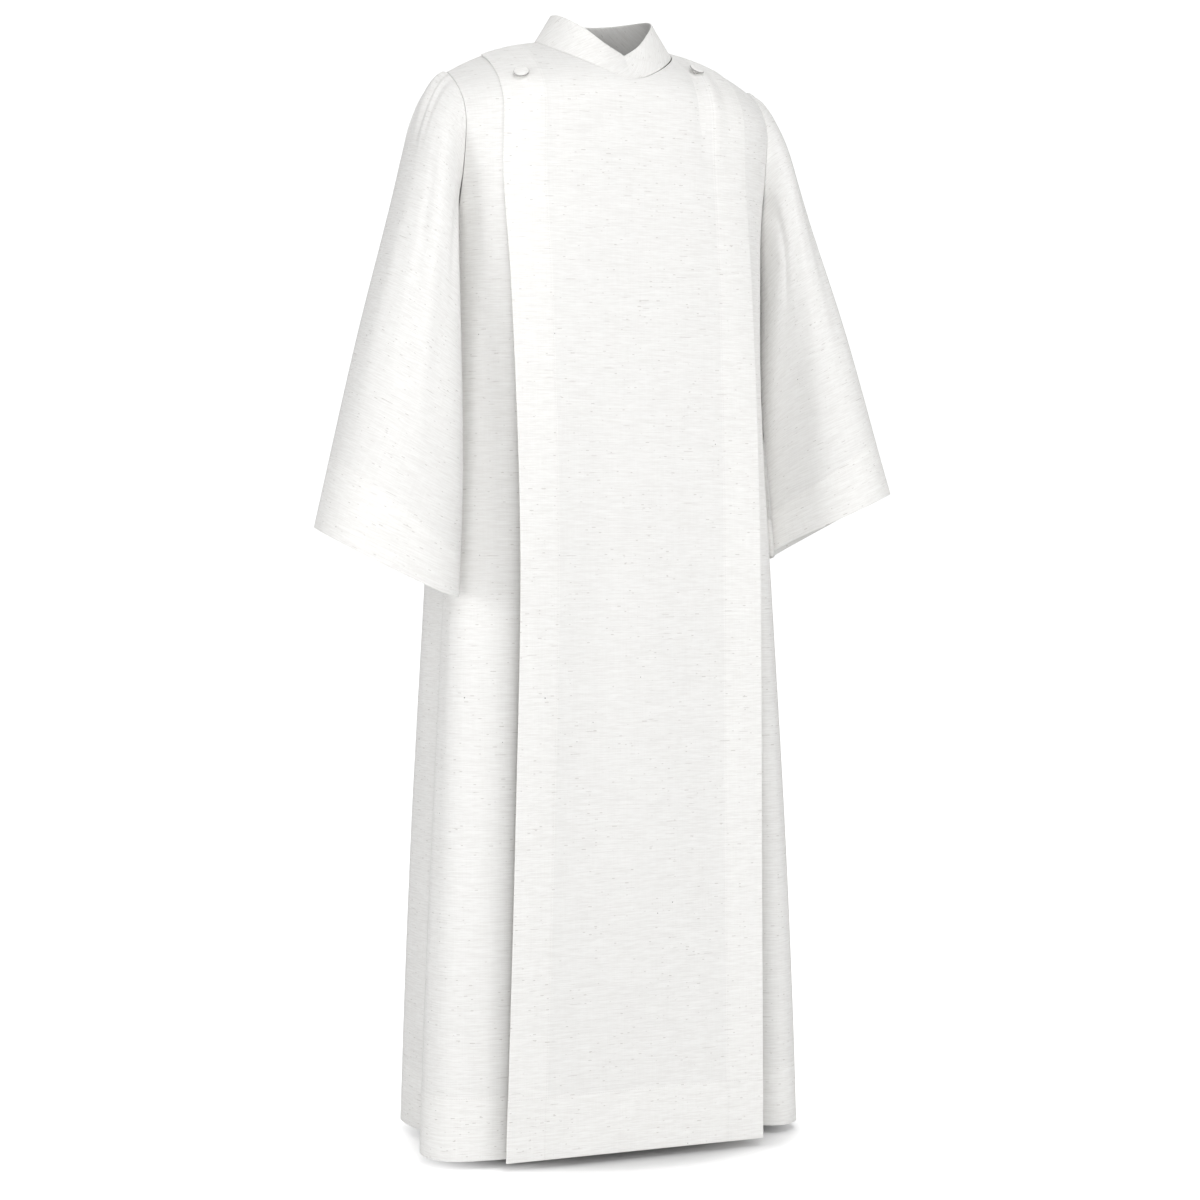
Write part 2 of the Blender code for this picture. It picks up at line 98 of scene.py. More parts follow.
PANEL = (
    (0.00, 0.165, 0.157, 0.122, 0.0),
    (0.15, 0.169, 0.162, 0.124, 0.0),
    (0.32, 0.163, 0.169, 0.127, 0.35),
    (0.60, 0.160, 0.170, 0.132, 0.9),
    (1.00, 0.170, 0.169, 0.139, 1.0),
    (1.42, 0.184, 0.170, 0.143, 1.0),
)
PANEL_SPREAD = 0.05  # the drop over which its columns go from the neckline's places to even ones
FOLD_GROWTH = 0.8
FOLDS = (
    # piece, place, spread, depth, starts, late
    ("right_side_front", 0.64, 0.36, 0.040, 0.34, 1.0),
    ("right_side_front", 1.00, 0.18, -0.030, 0.36, 1.0),
    ("left_side_front", 0.70, 0.30, 0.020, 0.40, 1.0),
    ("left_side_front", 0.33, 0.30, -0.022, 0.32, 0.7),
    ("left_side_front", 1.00, 0.18, -0.026, 0.36, 1.0),
    ("back_right", 1.00, 0.34, -0.030, 0.36, 1.0),
    ("back_right", 0.58, 0.18, 0.016, 0.30, 1.0),
    ("back_right", 0.24, 0.15, 0.016, 0.22, 1.0),
    ("back_left", 1.00, 0.34, -0.026, 0.36, 1.0),
    ("back_left", 0.60, 0.19, 0.014, 0.34, 1.0),
    ("back_left", 0.26, 0.14, 0.019, 0.26, 1.0),
)

# Sleeves, collar and buttons
SLEEVE_COLUMNS = (
    "way", "out_x", "out_y", "out_z", "in_x", "in_y", "in_z",
    "front", "back", "square", "dip",
)
RIGHT_SLEEVE = (
    (0.00, 0.236, 0.000, -0.047, 0.221, -0.004, -0.285, 0.076, 0.078, 2.2, 0.0),
    (0.10, 0.251, -0.006, -0.090, 0.222, -0.022, -0.335, 0.082, 0.080, 2.3, 0.02),
    (0.30, 0.286, -0.020, -0.214, 0.224, -0.040, -0.425, 0.083, 0.080, 2.4, 0.05),
    (0.60, 0.337, -0.038, -0.388, 0.230, -0.062, -0.556, 0.080, 0.078, 2.5, 0.10),
    (1.00, 0.402, -0.065, -0.629, 0.240, -0.088, -0.708, 0.074, 0.074, 2.5, 0.17),
)
LEFT_SLEEVE = (
    (0.00, 0.232, 0.000, -0.047, 0.221, -0.004, -0.285, 0.074, 0.078, 2.2, 0.0),
    (0.10, 0.246, -0.004, -0.090, 0.222, -0.014, -0.330, 0.076, 0.080, 2.3, -0.02),
    (0.30, 0.281, -0.012, -0.208, 0.224, -0.024, -0.410, 0.076, 0.080, 2.4, -0.06),
    (0.60, 0.333, -0.028, -0.368, 0.230, -0.034, -0.526, 0.072, 0.078, 2.4, -0.12),
    (1.00, 0.394, -0.050, -0.586, 0.236, -0.048, -0.664, 0.068, 0.074, 2.4, -0.22),
)
SLEEVE_SEAM = {"shoulder": 0.0008, "armpit": 0.0018}
CAP_BLEND = 0.16
CAP_RISE = 0.62
SLEEVE_BUNCH = 0.50
SLEEVE_LENGTH = 0.60
GATHERS = 5
GATHER_PITCH = 0.018
GATHER_DEPTH = 0.0032
GATHER_LENGTH = 0.20
GATHER_EARLY = 0.6
GATHER_OUT = (0.6, 0.0, 0.8)
COLLAR_TOP_WIDTH = 0.065
COLLAR_TOP_DEPTH = {"front": 0.080, "back": 0.066}
COLLAR_TOP_COLUMNS = ("turn", "height")
COLLAR_TOP = (
    (0.0, -0.023),
    (20.0, -0.009),
    (45.0, 0.014),
    (70.0, 0.031),
    (90.0, 0.0385),
    (180.0, 0.040),
)
COLLAR_SEAM = 0.00104  # half the gap between the halves at the centre back
COLLAR_END = 38.0  # degrees past the centre front
COLLAR_UNDER = {"from": 62.0, "over": 24.0}  # where the left half goes beneath the right one
COLLAR_LEAN = 0.55
COLLAR_FACE = math.sqrt(1 - COLLAR_LEAN**2)
COLLAR_LIFT = {"front": 0.0027, "back": 0.0010}
COLLAR_CHANGE = {"from": 80.0, "over": 20.0}  # where the front's lift becomes the back's
BUTTON_RADIUS = 0.010
BUTTON_SEAT = WALL * 1.5 + LAP
BUTTON_GATHERS = {"count": 17, "deep": 0.012, "from": 0.6}
BUTTON_PROFILE = np.array(
    [
        # share of the radius, height
        (0.00, 0.0058),
        (0.15, 0.0058),
        (0.40, 0.0057),
        (0.62, 0.0055),
        (0.76, 0.0051),
        (0.80, 0.0047),
        (0.84, 0.0051),
        (0.91, 0.0051),
        (0.97, 0.0047),
        (1.00, 0.0041),
        (0.98, 0.0035),
        (0.90, 0.0031),
        (0.60, 0.0029),
        (0.36, 0.0027),
        (0.32, -0.0010),
        (0.00, -0.0010),
    ]
)
BUTTONS = (
    # name, x, y
    ("button_right", -0.139, -0.084),
    ("button_left", 0.101, -0.076),
)

# How fine the grids are. Rows: over the shoulder, on the chest and down the skirt
SIDE_ROWS = (22, 16, 170)
BACK_ROWS = (20, 18, 170)
PANEL_ROWS = (26, 22, 190)
SIDE_COLUMNS = 50
BACK_COLUMNS = {"neck": 26, "shoulder": 34}
PANEL_TOPS = {"right": 16, "neck": 53, "left": 15}
CLOSER = np.array((0.35, 1.0))  # two more lines beside an edge, in shares of its gap
SIDE_GAP = 0.008  # a share of the way across
BACK_GAP = 0.006
EDGE_GAP = 0.0016
SLEEVE_TURNS = 121
SLEEVE_WAYS = np.concatenate([np.linspace(0, 0.24, 34), np.linspace(0.25, 1, 88)])
COLLAR_FRONT = {"from": 20.0, "step": 2.0}  # where the finer columns start, and how far they stay off
COLLAR_GRID = {"around": 84, "front": 34, "rows": 15}
BUTTON_TURNS = 65
BUTTON_SEARCH = 4001
BUTTON_STEP = 0.002
PANEL_STEP = 0.0005
TOP_DROP = 1e-6  # the smallest drop at which the panel's direction is taken

# What is sewn and pressed: depths of the turned hems and facings, in metres
BODY_HEM = 0.080
SLEEVE_HEM = 0.088
PANEL_FACING = 0.052
SIDE_FRONT_FACING = 0.060

# Creases: u0, v0, u1, v1, wide, high, bow. Each runs from one place in its piece's cut (across, down) to
# another, with a half width, a height (below the surface if negative) and a sideways bow at its middle
CREASE_FADE = 1.4
PANEL_CREASES = (
    (0.094, 0.020, 0.104, 0.270, 0.012, -0.0024, -0.003),
    (0.112, 0.020, 0.122, 0.250, 0.011, 0.0024, -0.003),
    (0.130, 0.020, 0.140, 0.210, 0.010, -0.0018, -0.002),
    (-0.108, 0.060, -0.122, 0.360, 0.018, -0.0010, 0.006),
    (-0.132, 0.070, -0.146, 0.300, 0.015, 0.0010, 0.004),
    (-0.060, 0.420, -0.075, 1.300, 0.040, -0.0016, 0.010),
    (0.020, 0.300, 0.015, 1.380, 0.050, 0.0016, -0.012),
    (0.090, 0.520, 0.110, 1.400, 0.036, -0.0014, 0.008),
    (-0.130, 0.500, -0.150, 1.420, 0.026, 0.0012, -0.004),
)
RIGHT_SIDE_CREASES = (
    (0.055, 0.200, 0.105, 2.300, 0.030, 0.0180, 0.000),
    (0.112, 0.180, 0.120, 0.700, 0.012, 0.0016, -0.004),
    (0.150, 0.420, 0.190, 1.560, 0.016, -0.0030, 0.006),
)
LEFT_SIDE_CREASES = (
    (0.080, 0.200, 0.095, 2.300, 0.026, 0.0100, 0.000),
    (0.110, 0.180, 0.118, 0.760, 0.012, 0.0016, -0.004),
    (0.150, 0.360, 0.180, 1.560, 0.016, -0.0024, 0.004),
)
BACK_CREASES = (
    (-0.190, 0.120, -0.120, 0.420, 0.016, -0.0046, 0.012),
    (-0.150, 0.200, -0.105, 0.620, 0.018, 0.0040, 0.010),
    (-0.050, 0.160, -0.060, 0.900, 0.020, -0.0038, -0.008),
    (0.000, 0.240, 0.010, 1.300, 0.024, 0.0038, 0.012),
    (0.055, 0.150, 0.070, 0.820, 0.018, -0.0042, 0.009),
    (0.155, 0.180, 0.110, 0.560, 0.018, 0.0040, -0.010),
    (0.190, 0.130, 0.125, 0.400, 0.015, -0.0046, -0.012),
    (-0.110, 0.700, -0.130, 1.500, 0.024, -0.0048, 0.008),
    (0.120, 0.640, 0.140, 1.520, 0.024, 0.0044, -0.008),
    (-0.240, 0.500, -0.270, 1.540, 0.030, 0.0050, 0.010),
    (0.250, 0.560, 0.290, 1.540, 0.032, -0.0050, -0.010),
)
RIGHT_SLEEVE_CREASES = (
    (0.225, 0.120, 0.268, 0.900, 0.036, 0.0080, 0.000),
    (0.075, 0.060, 0.100, 0.420, 0.012, -0.0022, 0.008),
    (0.045, 0.050, 0.050, 0.560, 0.016, 0.0018, -0.006),
    (0.120, 0.120, 0.150, 0.560, 0.014, 0.0022, 0.008),
    (0.185, 0.080, 0.190, 0.300, 0.012, -0.0030, 0.010),
    (-0.060, 0.060, -0.080, 0.500, 0.016, -0.0022, 0.008),
    (-0.120, 0.100, -0.150, 0.560, 0.018, 0.0022, -0.008),
    (-0.190, 0.080, -0.200, 0.300, 0.014, -0.0026, 0.008),
)
LEFT_SLEEVE_CREASES = (
    (0.070, 0.070, 0.095, 0.460, 0.014, -0.0022, -0.008),
    (0.110, 0.090, 0.140, 0.560, 0.014, 0.0020, 0.008),
    (0.030, 0.100, 0.040, 0.540, 0.018, 0.0014, 0.006),
    (0.180, 0.080, 0.190, 0.320, 0.012, -0.0028, 0.008),
    (-0.070, 0.060, -0.095, 0.480, 0.016, -0.0020, -0.008),
    (-0.130, 0.100, -0.150, 0.560, 0.018, 0.0020, 0.008),
    (-0.185, 0.090, -0.200, 0.310, 0.014, -0.0026, -0.008),
)

# Where a sleeve hangs back from the front, straight behind its own form
LEFT_SLEEVE_HOLLOWS = ((0.190, 0.110, 0.225, 0.920, 0.078, -0.0430, 0.000),)

# The weave and its colours
THREAD_PITCH = 0.0011
THREAD_SWAY = 0.0012
WEAVE_NOISES = {
    # name: scales of its two coordinates, detail, roughness, and a third coordinate that sets it apart
    "sway": (9.0, 20.0, 1.0, 0.5, 0.0),
    "thick": (44.0, 7.317, 2.0, 0.65, 0.0),
    "thin": (22.0, 5.731, 1.0, 0.6, 4.0),
    "streak": (20.0, 760.0, 2.0, 0.6, 9.0),
    "patch": (4.0, 24.0, 2.0, 0.6, 21.0),
    "short_slub": (120.0, 7.317, 0.0, 0.5, 13.0),
    "long_slub": (38.0, 7.317, 0.0, 0.5, 31.0),
}
TONE_SHARES = {"thick": 0.52, "thin": 0.12, "streak": 0.36, "patch": 0.04}
TONE_BAND = (0.36, 0.67)
SLUB_BANDS = {"short_slub": (0.76, 0.82), "long_slub": (0.77, 0.84)}
SLUB_SHARES = {"short_slub": 1.0, "long_slub": 0.7}
SLUB_ROUND = 0.7
FLECKS = {"scale": 46.0, "size": 0.045, "soft": 0.012}
FLECK_BAND = (0.72, 1.0)
WEAVE_LIFT = {"crossing": 0.35, "thread": 1.3}
WEAVE_DEPTH = 0.00022
LAYER_DEPTH = 0.0004
LIGHT_THREAD = (0.935, 0.932, 0.915, 1)
DARK_THREAD = (0.82, 0.81, 0.79, 1)
SHADE = (0.45, 0.45, 0.46, 1)
# Painted shade: the colour a button's cloth darkens to near its rim, for the shadow beneath the rim, with
# its share and where it starts
RIM_SHADE = (0.16, 0.15, 0.15, 1)
SLUB_COLOUR = (0.30, 0.27, 0.24, 1)
FLECK_COLOUR = (0.13, 0.12, 0.12, 1)
SINGLE_SHARE = 0.08  # how much darker than a doubled layer a single one looks against the light
STITCH_SHARE = 0.12
SLUB_SHARE = 0.48
FLECK_SHARE = 0.85
RIM_SHARE = 0.75
RIM_START = 0.90
ROUGHNESS = {"dark": 0.92, "light": 0.78}
SHINE = {"Specular IOR Level": 0.25, "Sheen Weight": 0.12, "Sheen Roughness": 0.5}
BUMP_STRENGTH = 0.8

# Stitching just inside a turned layer's end, in metres, and how high the thread and its groove are
LAYER_EDGE = 0.0006
STITCH_IN = 0.002
STITCH_BAND = (0.0003, 0.0009)
STITCH_PITCH = 0.003
DASH_BAND = (-0.5, 0.1)
GROOVE_BAND = (0.0004, 0.0024)
GROOVE_LIFT = 0.8
STITCH_LIFT = 0.4

# Stage, light and camera
CAMERA_TURN = 22.0
CAMERA_REACH = 3.3
CAMERA_HEIGHT = -0.617
CAMERA_PITCH = math.atan(0.032)  # looks down by 32 mm in a metre
CAMERA_LENS = 75.0
CAMERA_FILM = 36.0
FLOOR = {"below": 0.012, "near": -9.0, "far": 4.0, "curve": 3.0, "top": 9.0, "wide": 12.0}
FLOOR_TURNS = 25
FLOOR_COLOUR = (0.74, 0.74, 0.74, 1)
# Painted shade: the floor's glow is left out in this oval round the robe's foot, and fades in over the band
OVAL = ((0.015, 0.275), (0.0, 0.225))  # the middle and half width of the shaded floor, along x and y
OVAL_BAND = (0.68, 1.20)
PAPER_GLOW = {"lights": 0.12, "seen": 0.75}  # what it adds to the light, and what only the camera sees
SKY = 0.15
ROBE_MIDDLE = (0.0, 0.0, -0.65)
LIGHTS = (
    # name, place, target, power, size
    ("left", (-2.3, -4.7, 0.4), ROBE_MIDDLE, 74.0, 2.8),
    ("right", (2.8, -4.2, 0.4), ROBE_MIDDLE, 63.0, 1.8),
    ("above", (0.0, -3.0, 3.6), (0.0, 0.0, -0.3), 100.0, 2.4),
    ("far_left", (-4.6, -1.0, 0.2), ROBE_MIDDLE, 78.0, 2.4),
    ("behind", (1.6, 3.0, 2.6), ROBE_MIDDLE, 44.0, 1.6),
)


def read(table, columns, name, at):
    """One column of a table at any place, on a smooth curve (cubic Hermite) through its rows."""
    rows = np.array(table, float)
    places = rows[:, 0]
    values = rows[:, columns.index(name)]
    steps = np.diff(places)
    slopes = np.diff(values) / steps
    tangents = np.concatenate([slopes[:1], (slopes[1:] + slopes[:-1]) / 2, slopes[-1:]])
    tangents[1:-1][slopes[1:] * slopes[:-1] <= 0] = 0
    at = np.clip(np.asarray(at, float), places[0], places[-1])
    k = np.clip(np.searchsorted(places, at, side="right") - 1, 0, len(steps) - 1)
    t = (at - places[k]) / steps[k]
    start = values[k] * (1 + 2 * t) * (1 - t) ** 2 + values[k + 1] * t**2 * (3 - 2 * t)
    return start + steps[k] * (tangents[k] * t * (1 - t) ** 2 - tangents[k + 1] * t**2 * (1 - t))


def ease(t):
    """Rises from 0 to 1 with no slope at either end: 3t^2 - 2t^3."""
    t = np.clip(t, 0, 1)
    return t * t * (3 - 2 * t)


def body(name, drop):
    """One of the body's measures at a drop."""
    return read(BODY, BODY_COLUMNS, name, drop)


def panel(name, drop):
    """One of the panel's measures at a drop."""
    return read(PANEL, PANEL_COLUMNS, name, drop)


def height(x, drop, face):
    """The seam's height at x, which fades out down to the armpit, less the drop.

    The seam is level to the neck point, but for an arched rise between the two, and falls off beyond it by
    fall * out + bend * out^2. It is the mean of such heights at places beside x, which rounds the bend.
    """
    seam = 0.0
    for aside in NECK_ROUNDING:
        place = np.abs(x + aside)
        out = np.maximum(place - NECK_WIDTH, 0)
        inside = np.maximum(1 - (place / NECK_WIDTH) ** 2, 0)
        seam = seam + NECK_RISE[face] * inside - SHOULDER_FALL * out - SHOULDER_BEND * out**2
    return seam / len(NECK_ROUNDING) * (1 - ease(drop / ARMPIT)) - drop


def turned(drop, face):
    """The share of its full depth that the body has at a drop: (1 - (1 - drop / turn)^soft)^ridge."""
    left = 1 - np.clip(drop / SHOULDER_TURN[face], 0, 1)
    return (1 - left**SHOULDER_SOFT) ** SHOULDER_RIDGE


def turn_drop(angle, face):
    """The drop at which the body has sin(angle) of its full depth."""
    left = np.maximum(1 - np.sin(angle) ** (1 / SHOULDER_RIDGE), 0) ** (1 / SHOULDER_SOFT)
    return SHOULDER_TURN[face] * (1 - left)


def section(drop, face):
    """Half sections for an array of drops, x = w sin(a)^(2/n) and y = d cos(a)^(2/n), and lengths along."""
    angle = np.linspace(0, math.pi / 2, SECTION_STEPS)
    power = 2 / body("square", drop)[..., None]
    x = body("width", drop)[..., None] * np.sin(angle) ** power
    y = (body(face, drop) * turned(drop, face))[..., None] * np.abs(np.cos(angle)) ** power
    steps = np.hypot(np.diff(x), np.diff(y))
    along = np.concatenate([np.zeros_like(x[..., :1]), np.cumsum(steps, axis=-1)], axis=-1)
    return x, y, along


def look_up(at, keys, values):
    """Linear interpolation at one place in each row of keys, all rows at once.

    Each row's keys are scaled to 0-1 and moved up by twice its number, so that one sorted list holds them.
    """
    steps = keys.shape[-1]
    rows = keys.reshape(-1, steps)
    ends = rows[:, -1:]
    lift = 2.0 * np.arange(len(rows))[:, None]
    places = np.clip(np.broadcast_to(at, keys.shape[:-1]).reshape(-1, 1) / ends, 0, 1)
    found = np.interp((places + lift).ravel(), (rows / ends + lift).ravel(), values.reshape(-1))
    return found.reshape(keys.shape[:-1])


def grown(drop, starts, late):
    """How much of its depth a fold has: the eased mean of share and share^late, to the power of growth."""
    share = np.maximum(drop - starts, 0) / (HEM - starts)
    return ease((share + share**late) / 2) ** FOLD_GROWTH


def folds(piece, share, drop):
    """Sum of cos^2 bells across the piece, each growing from its start to the hem."""
    total = np.zeros(np.broadcast(share, drop).shape)
    for name, place, spread, depth, starts, late in FOLDS:
        if name == piece:
            bell = np.cos(np.minimum(np.abs(share - place) / spread, 1) * math.pi / 2) ** 2
            total = total + depth * bell * grown(drop, starts, late)
    return total


def body_points(piece, face, hand, drop, share, inner):
    """Points of the body's cloth at a share of the length round the half section.

    The share runs from x = inner to the armhole, or below it to the side seam. The folds move the points out
    along the superellipse's normal, (x^(n-1) / w^n, y^(n-1) / d^n).
    """
    x, y, along = section(drop, face)
    start = look_up(inner, x, along)
    armhole = look_up(read(ARMHOLE, ARMHOLE_COLUMNS, "width", drop), x, along) - SEAM / 2
    end = np.where(drop < ARMHOLE_END, armhole, along[..., -1] - SEAM / 2)
    straight = start + (along[..., -1] - start) * np.minimum(share, STRAIGHT)
    at = straight + (end - straight) * np.maximum(share - STRAIGHT, 0) / (1 - STRAIGHT)
    px = look_up(at, along, x)
    py = look_up(at, along, y)
    power = body("square", drop) - 1
    across = (px / body("width", drop)) ** power / body("width", drop)
    ahead = (py / body(face, drop)) ** power / body(face, drop)
    size = np.hypot(across, ahead) + TINY
    moved = np.where(drop > ARMPIT, folds(piece, share, drop), 0.0)
    px = px + across / size * moved
    py = py + ahead / size * moved
    front = -1 if face == "front" else 1
    level = height(px, drop, face)
    return np.stack([hand * px, front * np.maximum(py, SEAM / 2), level], axis=-1)


def row_drops(face, start_angle, counts):
    """Drops, rows by columns, for columns that start at the given angles over the shoulder.

    Even steps of the angle run over the shoulder, sine steps down to the armpit and even ones to the hem.
    """
    turn_rows, chest_rows, skirt_rows = counts
    start_angle = np.atleast_1d(start_angle)
    steps = np.linspace(0, 1, turn_rows)[:, None]
    over = turn_drop(start_angle + (math.pi / 2 - start_angle) * steps, face)
    turn = SHOULDER_TURN[face]
    chest = turn + (ARMPIT - turn) * np.sin(np.linspace(0, math.pi / 2, chest_rows + 1)[1:])
    skirt = ARMPIT + (HEM - ARMPIT) * np.linspace(0, 1, skirt_rows + 1)[1:]
    below = np.concatenate([chest, skirt])[:, None]
    return np.concatenate([over, np.broadcast_to(below, (len(below), len(start_angle)))])


def neck_angle(x, face):
    """Where on the shoulder's turn the neckline, an ellipse in plan, crosses; 0 outside the neck point."""
    inside = np.maximum(1 - (x / NECK_WIDTH) ** 2, 0)
    power = float(body("square", 0))
    deep = float(body(face, 0)) * (1 - (np.abs(x) / float(body("width", 0))) ** power) ** (1 / power)
    return np.arcsin(np.minimum(NECK_DEPTH[face] * np.sqrt(inside) / deep, NECK_LIMIT))


def crowded(low, high, count, gap, ends="both"):
    """Places from low to high with some more close to the ends, where a seam or edge turns."""
    places = np.linspace(low, high, count)
    near = gap * CLOSER
    extra = []
    if ends in ("both", "low"):
        extra.append(low + near)
    if ends in ("both", "high"):
        extra.append(high - near)
    return np.sort(np.concatenate([places] + extra))


def lengths(points, axis):
    """Length along the grid's rows or columns, from its first line."""
    steps = np.linalg.norm(np.diff(points, axis=axis), axis=2)
    zero = np.zeros_like(steps[:1] if axis == 0 else steps[:, :1])
    return np.concatenate([zero, np.cumsum(steps, axis=axis)], axis=axis)


def flat_cut(points, across, shoulder_rows=None):
    """The place in the flat cut: across, and the length down the piece, level with the hem throughout.

    Given the number of rows over the shoulder, the length is that of the side view there, and the height
    below it, so that the weft lies level.
    """
    if shoulder_rows is not None:
        points = points[..., 1:].copy()
        points[shoulder_rows:, :, 0] = points[shoulder_rows - 1, :, 0]
    down = lengths(points, 0)
    return np.stack([across, down - down[-1:] + down[-1].max()], axis=-1)


def unit(vectors):
    """Vectors brought to length 1."""
    return vectors / np.maximum(np.linalg.norm(vectors, axis=-1, keepdims=True), TINY)


def facing(points, ring):
    """Unit normals of a grid, from the cross product of its two directions, smoothed over its neighbours.

    Two rounds of the weights 1, 2 and 1 along the rows and then along the columns do the smoothing.
    """
    if ring:
        wide = np.concatenate([points[:, -2:-1], points, points[:, 1:2]], axis=1)
        across = (wide[:, 2:] - wide[:, :-2]) / 2
    else:
        across = np.gradient(points, axis=1)
    normal = unit(np.cross(across, np.gradient(points, axis=0)))
    for _ in range(2):
        inner = normal.copy()
        inner[1:-1] = (normal[:-2] + 2 * normal[1:-1] + normal[2:]) / 4
        inner[:, 1:-1] = (inner[:, :-2] + 2 * inner[:, 1:-1] + inner[:, 2:]) / 4
        normal = inner
    return unit(normal)


def bells(cut, creases):
    """The sum of soft bells beside each crease's bowed line.

    Each bell is high * exp(-(distance / wide)^2) * sin(pi * way along)^fade.
    """
    moved = np.zeros(cut.shape[:2])
    for u0, v0, u1, v1, wide, high, bow in creases:
        run = np.array([u1 - u0, v1 - v0])
        size = np.hypot(*run)
        run = run / size
        du = cut[..., 0] - u0
        dv = cut[..., 1] - v0
        way = np.clip((du * run[0] + dv * run[1]) / size, 0, 1)
        aside = du * run[1] - dv * run[0] - bow * 4 * way * (1 - way)
        moved += high * np.exp(-((aside / wide) ** 2)) * np.sin(math.pi * way) ** CREASE_FADE
    return moved


def creased(points, cut, creases, ring=False):
    """Moves the cloth along its normals by the creases' bells."""
    return points + facing(points, ring) * bells(cut, creases)[..., None]


def extended(grid, points, axis, half):
    """Adds the lines of both rounded edges to a grid that belongs to points.

    In the points they run on along each edge's own direction, by half a thickness times sin(turn). In other
    grids the edge's values are repeated.
    """
    parts = [grid]
    for edge, beside in ((0, 1), (-1, -2)):
        line = grid.take(edge, axis)
        lines = [line for _ in EDGE_TURNS]
        if grid is points:
            out = unit(line - points.take(beside, axis)) * half
            lines = [line + out * math.sin(turn) for turn in EDGE_TURNS]
        stack = np.stack(lines, axis=axis)
        if edge == 0:
            parts.insert(0, np.flip(stack, axis=axis))
        else:
            parts.append(stack)
    return np.concatenate(parts, axis=axis)


def quads(index, values, turn=1):
    """Faces between a grid's neighbouring lines and their corners' values; turn -1 turns them over."""
    order = [(0, 0), (0, 1), (1, 1), (1, 0)][::turn]
    rows, columns = index.shape
    picks = [(slice(a, rows - 1 + a), slice(b, columns - 1 + b)) for a, b in order]
    faces = np.stack([index[p] for p in picks], axis=-1).reshape(-1, 4)
    return faces, np.stack([values[p] for p in picks], axis=2).reshape(-1, 4)


def shell(points, cut, edges, ring=False, half=CLOTH / 2):
    """A closed thin shell round a grid: its outer and inner sheets meet in rounded edges.

    Gives vertices, faces and the places in both maps of each face corner. The thickness runs out over an
    edge's last three lines as the cosine of 30, 60 and 90 degrees. A ring has no side edges: its last column
    is its first again.
    """
    fade = np.cos(EDGE_TURNS)
    down, over = (np.concatenate([fade[::-1], np.ones(count), fade]) for count in points.shape[:2])
    grids = [points, facing(points, ring), cut, edges]
    if ring:
        over = np.ones(points.shape[1])
    else:
        grids = [extended(grid, points, 1, half) for grid in grids]
    base = grids[0]
    middle, normals, cut, edges = (extended(grid, base, 0, half) for grid in grids)
    reach = normals * half * (down[:, None] * over)[..., None]
    around = middle.shape[1] - ring
    outer = (middle + reach)[:, :around]
    inner = (middle - reach)[:, :around]
    front = np.arange(len(outer) * around).reshape(-1, around)
    own = np.ones(front.shape, bool)
    own[[0, -1]] = False
    if not ring:
        own[:, [0, -1]] = False
    rear = front.copy()
    rear[own] = front.size + np.arange(own.sum())
    vertices = np.concatenate([outer.reshape(-1, 3), inner[own]])
    if ring:
        front, rear = (np.concatenate([index, index[:, :1]], axis=1) for index in (front, rear))
    maps = np.concatenate([cut, edges], axis=-1)
    faces, corners = zip(quads(front, maps), quads(rear, maps, -1))
    return vertices, np.concatenate(faces), np.concatenate(corners)


def joined(*shapes):
    """Several shells as one list of vertices, faces and corner values."""
    vertices, faces, corners = zip(*shapes)
    starts = np.cumsum([0] + [len(part) for part in vertices[:-1]])
    faces = [part + start for part, start in zip(faces, starts)]
    return np.concatenate(vertices), np.concatenate(faces), np.concatenate(corners)


def hemmed(grids, depth, ring=False):
    """A piece with its hem: the rows within the depth again, a layer and a little air further in."""
    points, cut, edges = grids
    rows = edges[:, 0, 1] <= depth
    inner = points - facing(points, ring) * HEM_STEP
    return joined(shell(*grids, ring=ring), shell(inner[rows], cut[rows], edges[rows], ring=ring))


def made(name, shape, finish, slot, *nodes):
    """Puts a shape into the scene with its two maps, faces outwards, on the body and for its nodes."""
    vertices, faces, corners = shape
    mesh = bpy.data.meshes.new(name)
    mesh.vertices.add(len(vertices))
    mesh.vertices.foreach_set("co", np.ascontiguousarray(vertices, np.float32).ravel())
    mesh.loops.add(faces.size)
    mesh.loops.foreach_set("vertex_index", np.ascontiguousarray(faces, np.int32).ravel())
    mesh.polygons.add(len(faces))
    mesh.polygons.foreach_set("loop_start", np.arange(len(faces), dtype=np.int32) * 4)
    mesh.update(calc_edges=True)
    mesh.validate()
    for label, pick in (("cut", slice(0, 2)), ("edges", slice(2, 4))):
        layer = mesh.uv_layers.new(name=label)
        layer.data.foreach_set("uv", np.ascontiguousarray(corners[:, pick], np.float32).ravel())
    mesh.uv_layers["cut"].active_render = True
    mesh.shade_smooth()
    piece = bpy.data.objects.new(name, mesh)
    bpy.context.scene.collection.objects.link(piece)
    mesh.materials.append(finish)
    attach(piece, "root")
    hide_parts(*nodes)
    return piece


def side_front(name, hand):
    """From the neck point down, under the panel, and round to the side seam: shares 0 to 1 by drop."""
    drop = row_drops("front", 0.0, SIDE_ROWS)
    share = crowded(0, 1, SIDE_COLUMNS, SIDE_GAP)[None, :]
    drop, share = np.broadcast_arrays(drop, share)
    points = body_points(name, "front", hand, drop, share, NECK_WIDTH + LAP)
    cut = flat_cut(points, lengths(points, 1), SIDE_ROWS[0])
    points = creased(points, cut, RIGHT_SIDE_CREASES if hand < 0 else LEFT_SIDE_CREASES)
    edges = np.stack([cut[..., 0], HEM - drop], axis=-1)
    cut[..., 0] *= hand
    if hand > 0:
        points, cut, edges = (np.flip(grid, axis=1) for grid in (points, cut, edges))
    return points, cut, edges


def top_share(x):
    """The share of the back at which a place on the shoulder seam lies: in two straight runs."""
    straight = STRAIGHT * float(body("width", 0))
    far = STRAIGHT + (1 - STRAIGHT) * (x - straight) / (SHOULDER_TIP - straight)
    return np.where(x <= straight, STRAIGHT * x / straight, far)


